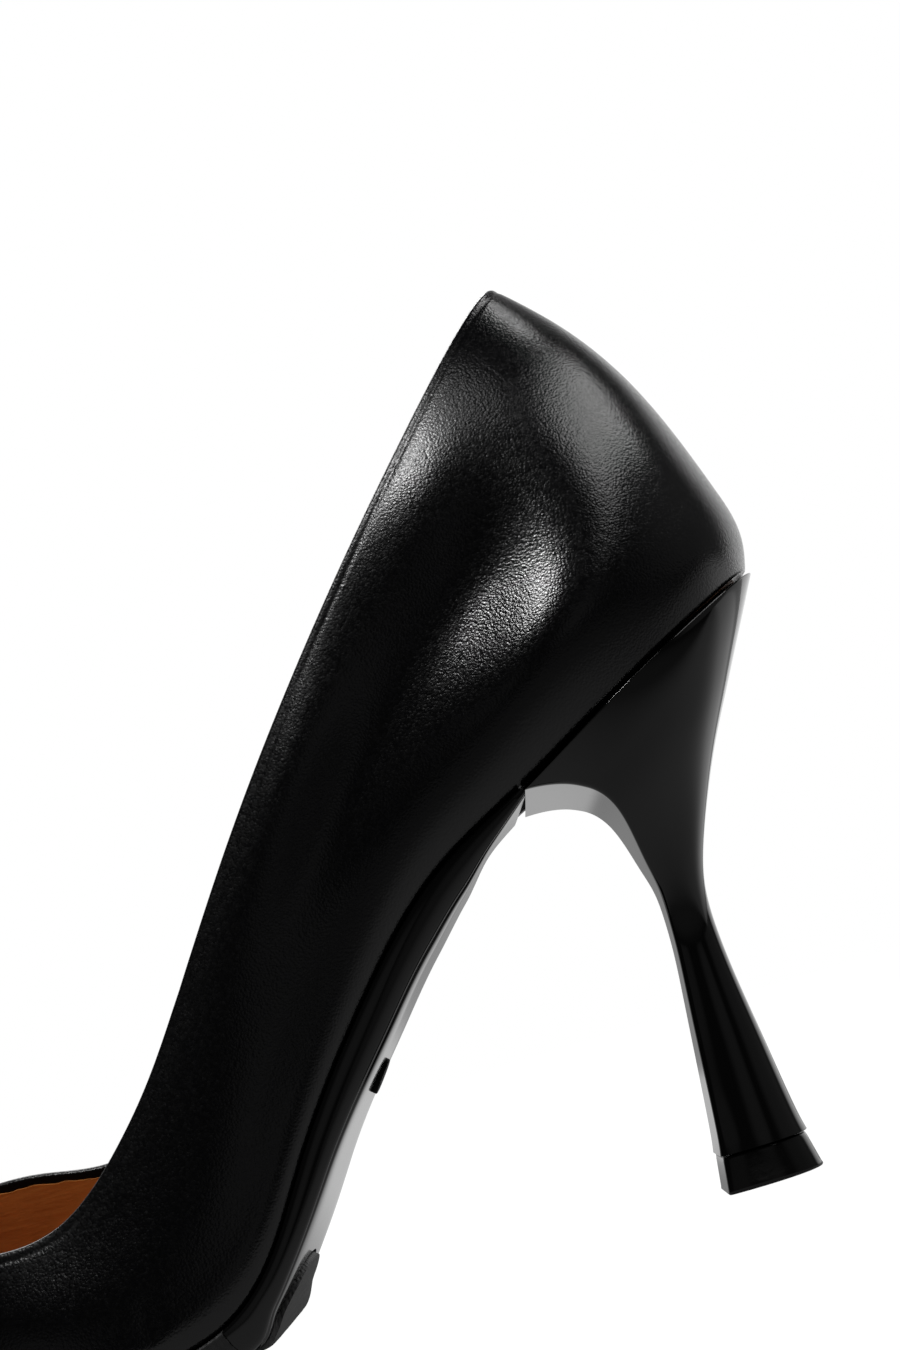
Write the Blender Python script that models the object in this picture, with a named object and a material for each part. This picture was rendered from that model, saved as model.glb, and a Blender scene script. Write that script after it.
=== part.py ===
"""Left stiletto pump: upper, insole, outsole, forefoot tread, heel, heel tip and a plain sole stud.

Sizes are millimetres and meshes are written in metres. X runs from the toe (-) to the heel (+), Y from the
outer side of the foot (-) to the inner side (+) and Z up from the floor. "fore" is the distance forward of
the rearmost point, and the feather line is where the upper meets the sole and the heel.
"""
import math
from collections import namedtuple

import bmesh
import bpy
import numpy as np
from mathutils import Matrix, Vector

MM = 0.001

# Driving dimensions
LENGTH = 213.0          # rearmost point to toe tip
BALL_WIDTH = 72.0       # across the feather line at the ball of the foot
HEEL_HEIGHT = 95.5      # floor to the feather line at the back
COLLAR_HEIGHT = 155.7   # floor to the topline at the back

# Thicknesses and fits
WALL = 1.8              # upper with its lining
GAP = 0.3               # between pieces that meet
RAND = 0.9              # how far sole and heel stand out past the feather line
INSOLE_THICKNESS = 2.0
TREAD_REAR = 48.9       # middle of the tread's rear edge, in percent of the length
TREAD_SWEEP = 9.0       # how far that edge runs forward at the sides
TREAD_SWEEP_POWER = 3.0
TREAD_EDGE = 0.5        # how far the tread's rim is rounded up from the floor
TREAD_EDGE_START = 0.8  # share across where that rounding starts
FLOOR_EASE = 0.5        # height over which the sole flattens onto the floor
TIP_HEIGHT = 5.8        # heel tip, floor to joint
TIP_INSET = 0.2         # heel tip's upper edge, inside the heel's lip
TIP_EASE = 0.3          # bevel of the tip's lower edge
STUD_DIAMETER = 6.0
STUD_THICKNESS = 0.6
STUD_FORE = 41.3        # stud's place along the sole, in percent of the length

# Mesh density
RING_STEPS = 3          # points from one rib to the next
FINE_STEPS = 12         # the same, for measuring outlines
HEEL_RIBS = 5           # ribs from the back of the seat to the heel's front lip
HEEL_STEPS = 2          # loops from one heel section to the next
FRONT_STEPS = 4         # spans across the heel's front face
RIB_STATIONS = (0.0, 0.02, 0.05, 0.1, 0.18, 0.28, 0.4, 0.52, 0.64, 0.76, 0.88, 1.0)
ACROSS = (-1.0, -0.93, -0.83, -0.68, -0.4, 0.0, 0.4, 0.68, 0.83, 0.93, 1.0)
OUTSOLE_SPANS = 22
TREAD_SPANS = 30
TREAD_TURN = 0.97       # share of a half turn that spaces the tread's rows, closer at both ends
INSOLE_END = 0.3        # length left off each rounded end of the insole
STUD_SIDES = 20
SHARP_ANGLE = math.radians(50.0)

# Ribs of the upper, from the back seam round one side to the toe. fore and top_fore are percent of LENGTH,
# rise is percent of HEEL_HEIGHT, the topline's rises are percent of COLLAR_HEIGHT and the half widths are
# percent of half BALL_WIDTH. Swell is the wall's bulge off its straight chord in millimetres, at SWELL_AT.
Rib = namedtuple("Rib", (
    "fore", "rise", "outer", "inner", "top_fore", "top_rise_outer", "top_rise_inner", "top_outer", "top_inner",
    "swell"))
SWELL_AT = (0.05, 0.2, 0.36, 0.55, 0.8)
RIBS = (
    Rib(0.6, 100.0, 0.0, 0.0, 13.0, 100.0, 100.0, 0.0, 0.0, (2.5, 5.4, 6.5, 6.9, 4.5)),
    Rib(1.6, 98.8, 23.9, 23.9, 13.6, 99.3, 99.3, 11.7, 11.7, (2.5, 5.4, 6.5, 6.9, 4.5)),
    Rib(4.2, 95.5, 45.0, 45.0, 15.3, 96.9, 96.9, 24.4, 24.4, (2.7, 5.8, 7.0, 6.8, 4.5)),
    Rib(8.9, 89.8, 61.7, 61.7, 19.0, 90.9, 90.9, 42.8, 42.8, (2.2, 5.8, 6.2, 5.2, 3.0)),
    Rib(15.0, 82.4, 67.2, 67.2, 24.4, 82.2, 82.2, 55.6, 55.6, (2.2, 6.4, 4.7, 1.9, 2.7)),
    Rib(22.4, 73.4, 60.3, 59.7, 31.0, 71.4, 71.4, 63.6, 63.6, (2.2, 5.4, 4.6, 2.2, 2.2)),
    Rib(30.3, 63.9, 56.4, 52.5, 38.5, 58.6, 58.6, 69.2, 68.1, (1.7, 4.0, 3.7, 2.2, 2.6)),
    Rib(37.9, 47.5, 61.7, 49.4, 45.3, 45.6, 45.9, 74.4, 72.2, (1.4, 2.9, 3.1, 2.6, 2.2)),
    Rib(45.4, 25.1, 77.8, 62.5, 51.9, 31.7, 32.5, 80.0, 76.7, (1.4, 2.4, 2.6, 2.4, 1.3)),
    Rib(52.3, 6.2, 94.4, 83.9, 57.2, 22.4, 24.9, 84.5, 80.0, (1.4, 2.4, 2.5, 2.2, 1.0)),
    Rib(59.2, 2.5, 100.0, 95.6, 62.4, 16.8, 21.3, 87.8, 81.4, (1.4, 2.5, 2.6, 2.2, 0.9)),
    Rib(67.1, 2.5, 94.2, 96.7, 68.8, 16.3, 22.2, 86.7, 79.4, (1.4, 2.6, 2.8, 2.4, 1.0)),
    Rib(75.6, 3.1, 76.7, 88.9, 73.9, 18.4, 22.6, 71.7, 69.4, (1.5, 3.0, 3.3, 3.0, 1.5)),
    Rib(84.0, 4.5, 51.1, 72.8, 77.6, 20.8, 23.4, 48.9, 51.7, (1.9, 3.9, 4.3, 4.0, 2.4)),
    Rib(91.5, 6.3, 25.6, 51.7, 79.6, 22.9, 23.9, 22.8, 31.7, (2.4, 4.8, 4.9, 4.3, 2.4)),
    Rib(97.4, 8.0, 3.3, 31.1, 80.3, 23.9, 24.1, 4.2, 18.0, (3.0, 5.4, 5.1, 4.1, 2.0)),
    Rib(99.5, 8.6, -14.4, 14.4, 80.5, 24.2, 24.2, -10.6, 10.6, (3.2, 5.6, 4.8, 3.5, 1.6)),
)

# Sections of the heel from the seat down, each a D with a flat front. Places and half widths are percent of
# the same driving dimensions as the ribs'. squareness is 2 for an ellipse and more for a squarer back.
HeelSection = namedtuple("HeelSection", (
    "back_fore", "back_rise", "front_fore", "front_rise", "front_half", "side_half", "squareness"))
HEEL_SECTIONS = (
    HeelSection(0.6, 98.0, 22.7, 71.3, 61.7, 68.6, 2.0),
    HeelSection(1.7, 93.7, 19.2, 71.1, 55.6, 64.4, 2.15),
    HeelSection(3.3, 87.5, 17.2, 69.0, 51.1, 57.8, 2.3),
    HeelSection(5.0, 80.8, 16.1, 65.3, 44.4, 49.7, 2.4),
    HeelSection(6.9, 73.2, 15.5, 60.5, 33.9, 38.9, 2.4),
    HeelSection(8.6, 65.3, 15.1, 56.1, 25.0, 29.4, 2.35),
    HeelSection(10.1, 57.2, 14.7, 51.7, 18.3, 22.2, 2.3),
    HeelSection(11.0, 49.8, 14.6, 46.7, 15.3, 17.8, 2.2),
    HeelSection(11.1, 41.9, 14.7, 40.4, 14.4, 16.1, 2.2),
    HeelSection(10.8, 33.5, 15.0, 33.0, 15.0, 16.9, 2.2),
    HeelSection(10.3, 24.1, 15.4, 23.9, 17.2, 19.4, 2.2),
    HeelSection(9.8, 14.7, 15.8, 14.6, 20.3, 22.8, 2.2),
    HeelSection(9.3, 6.4, 16.2, 6.4, 21.4, 25.0, 2.2),
)
TIP_FOOT = HeelSection(8.8, 0.0, 16.5, 0.0, 21.5, 25.0, 2.2)
SIDE_SHARE = 0.38       # where a heel section is widest, as a share of its depth behind the front

# Sole thickness along the feather line, square to it: the edge, the crown's extra at the middle and the
# tread's extra over the outsole. The floor cuts the tread flat.
SoleRow = namedtuple("SoleRow", "fore edge crown tread")
SOLE_ROWS = (
    SoleRow(23.1, 1.2, 0.0, 0.0),
    SoleRow(26.5, 2.2, -0.6, 0.0),
    SoleRow(30.3, 4.1, 0.1, 0.0),
    SoleRow(34.2, 4.6, 0.8, 0.0),
    SoleRow(37.9, 4.6, 1.0, 0.0),
    SoleRow(45.4, 3.9, 0.5, 0.0),
    SoleRow(48.9, 3.5, 0.8, 0.4),
    SoleRow(52.3, 3.0, 3.4, 0.9),
    SoleRow(61.0, 2.1, 0.9, 0.6),
    SoleRow(100.0, 2.0, 0.8, 0.0),
)
OUTSOLE_START = 23.15   # just ahead of the heel's front lip, in percent of the length
CROWN_POWER = 4.0

# Colour as linear red, green and blue, then roughness
BLACK_LEATHER = ((0.012, 0.012, 0.013), 0.35)
SADDLE_LEATHER = ((0.26, 0.065, 0.017), 0.55)
SOLE_LACQUER = ((0.016, 0.016, 0.017), 0.18)
TREAD_RUBBER = ((0.018, 0.018, 0.019), 0.75)
TIP_RUBBER = ((0.011, 0.011, 0.012), 0.5)


def along(percent):
    """A share of the shoe's length, in millimetres."""
    return percent * LENGTH / 100.0


def across(percent):
    """A share of half the ball width, in millimetres."""
    return percent * BALL_WIDTH / 200.0


def spline(knots, values, closed=False):
    """A smooth curve through rows of values, with free ends or closed on itself."""
    t = np.asarray(knots, float)
    p = np.asarray(values, float)
    last = len(t) - 1
    h = np.diff(t)
    slope = np.diff(p, axis=0) / h[:, None]
    system = np.zeros((last + 1, last + 1))
    right = np.zeros_like(p)
    for i in range(1, last):
        system[i, i - 1:i + 2] = h[i - 1], 2.0 * (h[i - 1] + h[i]), h[i]
        right[i] = 6.0 * (slope[i] - slope[i - 1])
    system[0, 0] = 1.0
    system[last, last] = 1.0
    if closed:
        system[0, last] = -1.0
        system[last, [0, 1, last - 1, last]] = 2.0 * h[0], h[0], h[-1], 2.0 * h[-1]
        right[last] = 6.0 * (slope[0] - slope[-1])
    bend = np.linalg.solve(system, right)

    def at(query):
        q = np.atleast_1d(np.asarray(query, float))
        i = np.clip(np.searchsorted(t, q, side="right") - 1, 0, last - 1)
        span = h[i][:, None]
        before = (q - t[i])[:, None]
        after = span - before
        curved = (bend[i] * after**3 + bend[i + 1] * before**3) / (6.0 * span)
        straight = (p[i] / span - bend[i] * span / 6.0) * after
        return curved + straight + (p[i + 1] / span - bend[i + 1] * span / 6.0) * before

    return at


def steady_curve(knots, values):
    """A curve through rows of values that never swings past them."""
    t = np.asarray(knots, float)
    p = np.asarray(values, float)
    h = np.diff(t)[:, None]
    slope = np.diff(p, axis=0) / h
    same_way = slope[:-1] * slope[1:] > 0.0
    both = np.where(same_way, slope[:-1] + slope[1:], 1.0)
    lean = np.where(same_way, 2.0 * slope[:-1] * slope[1:] / both, 0.0)
    lean = np.concatenate((slope[:1], lean, slope[-1:]))

    def at(query):
        i = np.clip(np.searchsorted(t, query, side="right") - 1, 0, len(h) - 1)
        u = (query - t[i])[:, None] / h[i]
        level = p[i] * (1.0 + 2.0 * u) * (1.0 - u) ** 2 + p[i + 1] * u**2 * (3.0 - 2.0 * u)
        return level + h[i] * (lean[i] * u * (1.0 - u) ** 2 - lean[i + 1] * u**2 * (1.0 - u))

    return at


def rib_values(rib, side):
    """Feather point, topline point and swell of a rib on one side of the foot."""
    outer = side == "outer"
    half = -across(rib.outer) if outer else across(rib.inner)
    top_half = -across(rib.top_outer) if outer else across(rib.top_inner)
    top_rise = rib.top_rise_outer if outer else rib.top_rise_inner
    feather = (along(rib.fore), half, rib.rise * HEEL_HEIGHT / 100.0)
    topline = (along(rib.top_fore), top_half, top_rise * COLLAR_HEIGHT / 100.0)
    return feather + topline + rib.swell


def ring(steps):
    """Feather points, topline points and swells right round the shoe: back, outer side, toe, inner side."""
    rows = [rib_values(rib, "outer") for rib in RIBS]
    rows += [rib_values(rib, "inner") for rib in RIBS[-2:0:-1]]
    rows.append(rows[0])
    rows = np.array(rows)
    knots = np.concatenate(([0.0], np.cumsum(np.linalg.norm(np.diff(rows[:, :3], axis=0), axis=1))))
    share = np.arange((len(rows) - 1) * steps) / steps
    places = np.interp(share, np.arange(len(rows)), knots)
    values = spline(knots, rows, closed=True)(places)
    return values[:, :3], values[:, 3:6], values[:, 6:]


def plan_normals(points):
    """Outward level directions of a closed ring of points."""
    run = np.roll(points, -1, axis=0) - np.roll(points, 1, axis=0)
    normals = np.stack((run[:, 1], -run[:, 0], np.zeros(len(points))), axis=1)
    return normals / np.linalg.norm(normals, axis=1)[:, None]


def unit(vectors):
    """Vectors brought to a length of one."""
    return vectors / np.linalg.norm(vectors, axis=-1, keepdims=True)


def upper_surface():
    """Outer face of the upper: a grid of ribs round the shoe and stations up each rib."""
    feather, topline, swell = ring(RING_STEPS)
    chord = topline - feather
    out = plan_normals(feather)
    lean = unit(chord)
    out = unit(out - lean * np.sum(out * lean, axis=1)[:, None])
    ends = np.zeros((1, len(swell)))
    bulge = spline((0.0,) + SWELL_AT + (1.0,), np.concatenate((ends, swell.T, ends)))(RIB_STATIONS)
    share = np.array(RIB_STATIONS)[:, None, None]
    return feather[None] + share * chord[None] + bulge[:, :, None] * out[None]


class Outline:
    """The feather line moved outward in plan: its two sides and its rise, by distance fore."""

    def __init__(self, margin):
        feather = ring(FINE_STEPS)[0]
        moved = feather + margin * plan_normals(feather)
        half = len(moved) // 2
        self.outer = moved[:half + 1]
        self.inner = np.concatenate((moved[:1], moved[:half - 1:-1]))
        self.start = moved[0, 0]
        self.end = moved[half, 0]

    def side(self, fore, share):
        """Y at a share across, from -1 on the outer edge to 1 on the inner edge."""
        outer = np.interp(fore, self.outer[:, 0], self.outer[:, 1])
        inner = np.interp(fore, self.inner[:, 0], self.inner[:, 1])
        return outer + (inner - outer) * (share + 1.0) / 2.0


def feather_profile():
    """Rise of the feather line by distance fore, and the direction square to it, pointing down."""
    feather = ring(FINE_STEPS)[0]
    side = feather[:len(feather) // 2 + 1]
    slope = np.gradient(side[:, 2], side[:, 0])

    def at(fore):
        rise = np.interp(fore, side[:, 0], side[:, 2])
        tilt = np.interp(fore, side[:, 0], slope)
        return rise, unit(np.stack((tilt, np.zeros_like(tilt), -np.ones_like(tilt)), axis=-1))

    return at


def sole_faces(outline, fore, share, treaded):
    """Top and bottom points of the sole for grids of distance fore and share across."""
    rise, down = feather_profile()(fore)
    rows = steady_curve([along(row.fore) for row in SOLE_ROWS], [row[1:] for row in SOLE_ROWS])
    edge, crown, tread = rows(fore.ravel()).T.reshape((3,) + fore.shape)
    top = np.stack((fore, outline.side(fore, share), rise), axis=-1) + GAP * down
    thick = edge + crown * (1.0 - np.abs(share) ** CROWN_POWER) + tread * treaded
    bottom = top + thick[..., None] * down
    eased = np.clip(bottom[..., 2] + FLOOR_EASE, 0.0, 2.0 * FLOOR_EASE) ** 2 / (4.0 * FLOOR_EASE)
    bottom[..., 2] = eased + np.maximum(bottom[..., 2] - FLOOR_EASE, 0.0)
    return top, bottom


def tread_rear(share):
    """Distance fore of the joint between outsole and tread, by share across."""
    return along(TREAD_REAR) + TREAD_SWEEP * np.abs(share) ** TREAD_SWEEP_POWER


def to_frame(point):
    """Design point (fore, side, rise) in millimetres as a point of the part's frame, less the centring."""
    return Vector(((LENGTH / 2.0 - point[0]) * MM, point[1] * MM, point[2] * MM))


def material(name, finish):
    """A material by its name, with a finish of colour and roughness."""
    colour, roughness = finish
    made = bpy.data.materials.get(name) or bpy.data.materials.new(name)
    made.use_nodes = True
    shader = made.node_tree.nodes["Principled BSDF"]
    shader.inputs["Base Color"].default_value = colour + (1.0,)
    shader.inputs["Roughness"].default_value = roughness
    shader.inputs["Metallic"].default_value = 0.0
    return made


def add_piece(name, mesh_data, finish_name, finish):
    """A named object from a bmesh, faces pointing out, shaded smooth with sharp rims."""
    bmesh.ops.recalc_face_normals(mesh_data, faces=mesh_data.faces[:])
    mesh = bpy.data.meshes.new(name)
    mesh_data.to_mesh(mesh)
    mesh_data.free()
    mesh.shade_smooth()
    mesh.set_sharp_from_angle(angle=SHARP_ANGLE)
    piece = bpy.data.objects.new(name, mesh)
    bpy.context.scene.collection.objects.link(piece)
    mesh.materials.append(material(finish_name, finish))
    return piece


def add_grid(target, points, closed=False):
    """Vertices of a grid of points and the quads between its rows, joined end to end where it is closed."""
    rows = [[target.verts.new(to_frame(point)) for point in row] for row in points]
    columns = len(rows[0])
    for low, high in zip(rows, rows[1:]):
        for j in range(columns if closed else columns - 1):
            k = (j + 1) % columns
            target.faces.new((low[j], low[k], high[k], high[j]))
    return rows


def rim(rows):
    """The vertices right round the edge of an open grid."""
    left = [row[0] for row in rows]
    right = [row[-1] for row in rows]
    return rows[0][:-1] + right[:-1] + rows[-1][:0:-1] + left[:0:-1]


def slab(name, top, bottom, finish_name, finish):
    """A closed solid between two grids of points that match."""
    shape = bmesh.new()
    above = rim(add_grid(shape, top))
    below = rim(add_grid(shape, bottom))
    for i in range(len(above)):
        j = (i + 1) % len(above)
        shape.faces.new((above[i], above[j], below[j], below[i]))
    return add_piece(name, shape, finish_name, finish)


def stack(name, loops, finish_name, finish):
    """A closed solid through loops of points, with flat ends."""
    shape = bmesh.new()
    rows = add_grid(shape, loops, closed=True)
    shape.faces.new(rows[0])
    shape.faces.new(rows[-1])
    return add_piece(name, shape, finish_name, finish)


def make_upper():
    """The wall: its outer face thickened inward, open at the topline and underneath."""
    surface = upper_surface()
    shape = bmesh.new()
    add_grid(shape, surface, closed=True)
    bmesh.ops.reverse_faces(shape, faces=shape.faces[:])
    mesh = bpy.data.meshes.new("upper")
    shape.to_mesh(mesh)
    shape.free()
    mesh.shade_smooth()
    piece = bpy.data.objects.new("upper", mesh)
    bpy.context.scene.collection.objects.link(piece)
    mesh.materials.append(material("black leather", BLACK_LEATHER))
    wall = piece.modifiers.new("wall", "SOLIDIFY")
    wall.thickness = WALL * MM
    wall.offset = -1.0
    wall.use_even_offset = True
    return piece


def make_insole():
    """The board inside the wall, level with the feather line underneath."""
    outline = Outline(-(WALL + GAP))
    steps = np.arange((len(RIBS) - 1) * RING_STEPS + 1) / RING_STEPS
    stations = np.interp(steps, np.arange(len(RIBS)), [along(rib.fore) for rib in RIBS])
    squeeze = (outline.end - outline.start - 2.0 * INSOLE_END) / (stations[-1] - stations[0])
    stations = outline.start + INSOLE_END + (stations - stations[0]) * squeeze
    fore = stations[:, None] + np.zeros((1, len(ACROSS)))
    share = np.zeros_like(fore) + np.array(ACROSS)[None]
    rise, down = feather_profile()(fore)
    bottom = np.stack((fore, outline.side(fore, share), rise), axis=-1)
    top = bottom - INSOLE_THICKNESS * down
    return slab("insole", top, bottom, "saddle leather", SADDLE_LEATHER)


def make_outsole():
    """The smooth sole under the waist, from the heel's lip to the tread."""
    share = np.zeros((OUTSOLE_SPANS + 1, 1)) + np.array(ACROSS)[None]
    run = np.linspace(0.0, 1.0, OUTSOLE_SPANS + 1)[:, None]
    start = along(OUTSOLE_START)
    fore = start + (tread_rear(share) - start) * run
    top, bottom = sole_faces(Outline(RAND), fore, share, treaded=False)
    return slab("outsole", top, bottom, "lacquered sole leather", SOLE_LACQUER)


def make_tread():
    """The forefoot rubber: a step at its rear edge, flat on the floor, lifting with the toe."""
    outline = Outline(RAND)
    share = np.zeros((TREAD_SPANS + 1, 1)) + np.array(ACROSS)[None]
    turn = np.linspace(0.0, TREAD_TURN * math.pi, TREAD_SPANS + 1)[:, None]
    run = (1.0 - np.cos(turn)) / 2.0
    start = tread_rear(share) + GAP
    fore = start + (outline.end - start) * run
    top, bottom = sole_faces(outline, fore, share, treaded=True)
    at_edge = np.clip((np.abs(share) - TREAD_EDGE_START) / (1.0 - TREAD_EDGE_START), 0.0, 1.0)
    bottom[..., 2] += TREAD_EDGE * at_edge**2
    return slab("tread", top, bottom, "tread rubber", TREAD_RUBBER)


def seat_rim():
    """The heel's upper edge, from the inner side round the back to the outer side, under the feather line."""
    feather = ring(RING_STEPS)[0]
    reach = HEEL_RIBS * RING_STEPS
    pick = np.arange(-reach, reach + 1)
    moved = feather[pick] + RAND * plan_normals(feather)[pick]
    moved[:, 2] -= GAP
    return moved


def section_loop(values, depth_shares, sides):
    """One D of the heel: round the back between its front corners, then across the flat front."""
    section = HeelSection(*values)
    back = np.array((along(section.back_fore), 0.0, section.back_rise * HEEL_HEIGHT / 100.0))
    front = np.array((along(section.front_fore), 0.0, section.front_rise * HEEL_HEIGHT / 100.0))
    corner = section.front_half / section.side_half
    fuller = 1.0 - (1.0 - np.clip(depth_shares / SIDE_SHARE, 0.0, 1.0)) ** 2
    behind = np.clip((depth_shares - SIDE_SHARE) / (1.0 - SIDE_SHARE), 0.0, 1.0)
    round_back = (1.0 - behind ** section.squareness) ** (1.0 / section.squareness)
    half = across(section.side_half) * (corner + (1.0 - corner) * fuller) * round_back
    points = front + depth_shares[:, None] * (back - front)
    points[:, 1] = sides * half
    return points


def close_front(points):
    """Adds the points across the flat front between a loop's last and first corners."""
    shares = np.linspace(0.0, 1.0, FRONT_STEPS + 1)[1:-1, None]
    return np.concatenate((points, points[-1] + shares * (points[0] - points[-1])))


def heel_loops():
    """Loops of the heel from the seat to the lip above its tip, and the shares that shape each one."""
    rim_points = seat_rim()
    lip_fore = (rim_points[0, 0] + rim_points[-1, 0]) / 2.0
    shares = np.clip((lip_fore - rim_points[:, 0]) / (lip_fore - rim_points[:, 0].min()), 0.0, 1.0)
    sides = np.sign(rim_points[:, 1])
    knots = np.arange(len(HEEL_SECTIONS))
    places = np.linspace(0.0, knots[-1], knots[-1] * HEEL_STEPS + 1)
    table = spline(knots, HEEL_SECTIONS)(places)
    loops = [close_front(rim_points)]
    loops += [close_front(section_loop(values, shares, sides)) for values in table]
    return loops, shares, sides


def make_heel():
    """The covered block: from the seat it narrows into the stem and flares a little above the tip."""
    loops = heel_loops()[0]
    return stack("heel", loops, "black leather", BLACK_LEATHER)


def inset_loop(points, margin):
    """A level loop drawn in towards its middle by a margin."""
    middle = points.mean(axis=0)
    reach = np.linalg.norm(points - middle, axis=1)[:, None]
    return middle + (points - middle) * (1.0 - margin / reach)


def make_heel_tip():
    """The wear piece: a D a little inside the heel's lip, with its lower edge eased, flat on the floor."""
    loops, shares, sides = heel_loops()
    foot = close_front(section_loop(TIP_FOOT, shares, sides))
    head = inset_loop(loops[-1], TIP_INSET)
    head[:, 2] = TIP_HEIGHT
    shoulder = head + (foot - head) * (1.0 - TIP_EASE / TIP_HEIGHT)
    return stack("heel_tip", [head, shoulder, inset_loop(foot, TIP_EASE)], "tip rubber", TIP_RUBBER)


def make_stud():
    """A plain round stud on the middle of the waist, square to the sole."""
    fore = np.full((1, 1), along(STUD_FORE))
    middle = np.zeros((1, 1))
    bottom = sole_faces(Outline(RAND), fore, middle, treaded=False)[1][0, 0]
    down = feather_profile()(fore)[1][0, 0]
    centre = bottom + (GAP + STUD_THICKNESS / 2.0) * down
    centre[1] = 0.0
    square = Vector((-down[0], down[1], down[2])).to_track_quat("Z", "Y").to_matrix().to_4x4()
    shape = bmesh.new()
    bmesh.ops.create_cone(
        shape, cap_ends=True, segments=STUD_SIDES, depth=STUD_THICKNESS * MM,
        radius1=STUD_DIAMETER / 2.0 * MM, radius2=STUD_DIAMETER / 2.0 * MM,
        matrix=Matrix.Translation(to_frame(centre)) @ square)
    return add_piece("sole_stud", shape, "black leather", BLACK_LEATHER)


def centre_on_floor(pieces):
    """Moves the whole shoe level so that the middle of its box is over the origin."""
    points = np.array([vertex.co for piece in pieces for vertex in piece.data.vertices])
    middle = (points.min(axis=0) + points.max(axis=0)) / 2.0
    for piece in pieces:
        piece.data.transform(Matrix.Translation((-middle[0], -middle[1], 0.0)))


def main():
    for existing in list(bpy.data.objects):
        bpy.data.objects.remove(existing, do_unlink=True)
    makers = (make_upper, make_insole, make_outsole, make_tread, make_heel, make_heel_tip, make_stud)
    centre_on_floor([make() for make in makers])


main()
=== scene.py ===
"""Looks of a left stiletto pump: calf upper with a folded topline, tan lining, lacquered sole, rubber tread,
covered heel with its tip, a plain stud, and a white studio.

Lengths are metres. "fore" is the distance forward of the rearmost point, "share" runs from -1 on the outer
edge of the foot to 1 on the inner edge, and the feather line is where the upper meets the sole and the heel.
"""

import math
from collections import namedtuple

import bpy
import numpy as np
from bpy.props import FloatProperty, FloatVectorProperty, PointerProperty
from mathutils import Matrix, Vector


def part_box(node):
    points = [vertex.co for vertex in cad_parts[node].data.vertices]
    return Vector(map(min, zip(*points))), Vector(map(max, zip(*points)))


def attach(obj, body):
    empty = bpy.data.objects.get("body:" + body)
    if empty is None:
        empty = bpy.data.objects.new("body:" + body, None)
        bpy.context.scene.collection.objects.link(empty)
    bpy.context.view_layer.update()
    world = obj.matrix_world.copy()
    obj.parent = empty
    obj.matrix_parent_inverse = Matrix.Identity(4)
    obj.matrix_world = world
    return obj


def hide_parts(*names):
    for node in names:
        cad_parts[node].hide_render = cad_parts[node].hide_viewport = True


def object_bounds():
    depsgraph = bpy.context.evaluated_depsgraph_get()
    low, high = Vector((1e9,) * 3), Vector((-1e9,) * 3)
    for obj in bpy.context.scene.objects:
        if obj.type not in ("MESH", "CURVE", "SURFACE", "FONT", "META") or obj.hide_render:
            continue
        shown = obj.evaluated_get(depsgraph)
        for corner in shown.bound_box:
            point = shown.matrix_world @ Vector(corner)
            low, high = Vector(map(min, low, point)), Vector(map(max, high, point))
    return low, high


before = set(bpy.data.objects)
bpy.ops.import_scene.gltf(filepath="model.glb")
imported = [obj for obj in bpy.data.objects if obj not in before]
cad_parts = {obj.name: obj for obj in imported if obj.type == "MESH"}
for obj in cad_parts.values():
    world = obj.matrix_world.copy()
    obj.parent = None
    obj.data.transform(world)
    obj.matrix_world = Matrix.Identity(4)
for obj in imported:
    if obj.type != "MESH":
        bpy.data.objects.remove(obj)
CAD_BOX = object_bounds()

bl_info = {
    "name": "Stiletto pump",
    "version": (1, 0, 0),
    "blender": (4, 5, 0),
    "location": "3D View > Sidebar > Pump",
    "description": "Models the pieces of a stiletto pump, their finishes and a white studio",
    "category": "Object",
}

MM = 0.001
WELD = 1e-6
SMOOTH_ANGLE = math.radians(40.0)
WHITE = (1.0, 1.0, 1.0, 1.0)
# A slab's rounding takes at most these shares of its outermost column and of its depth
ROUND_ROOM = 0.8
ROUND_DEPTH = 0.4

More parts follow.
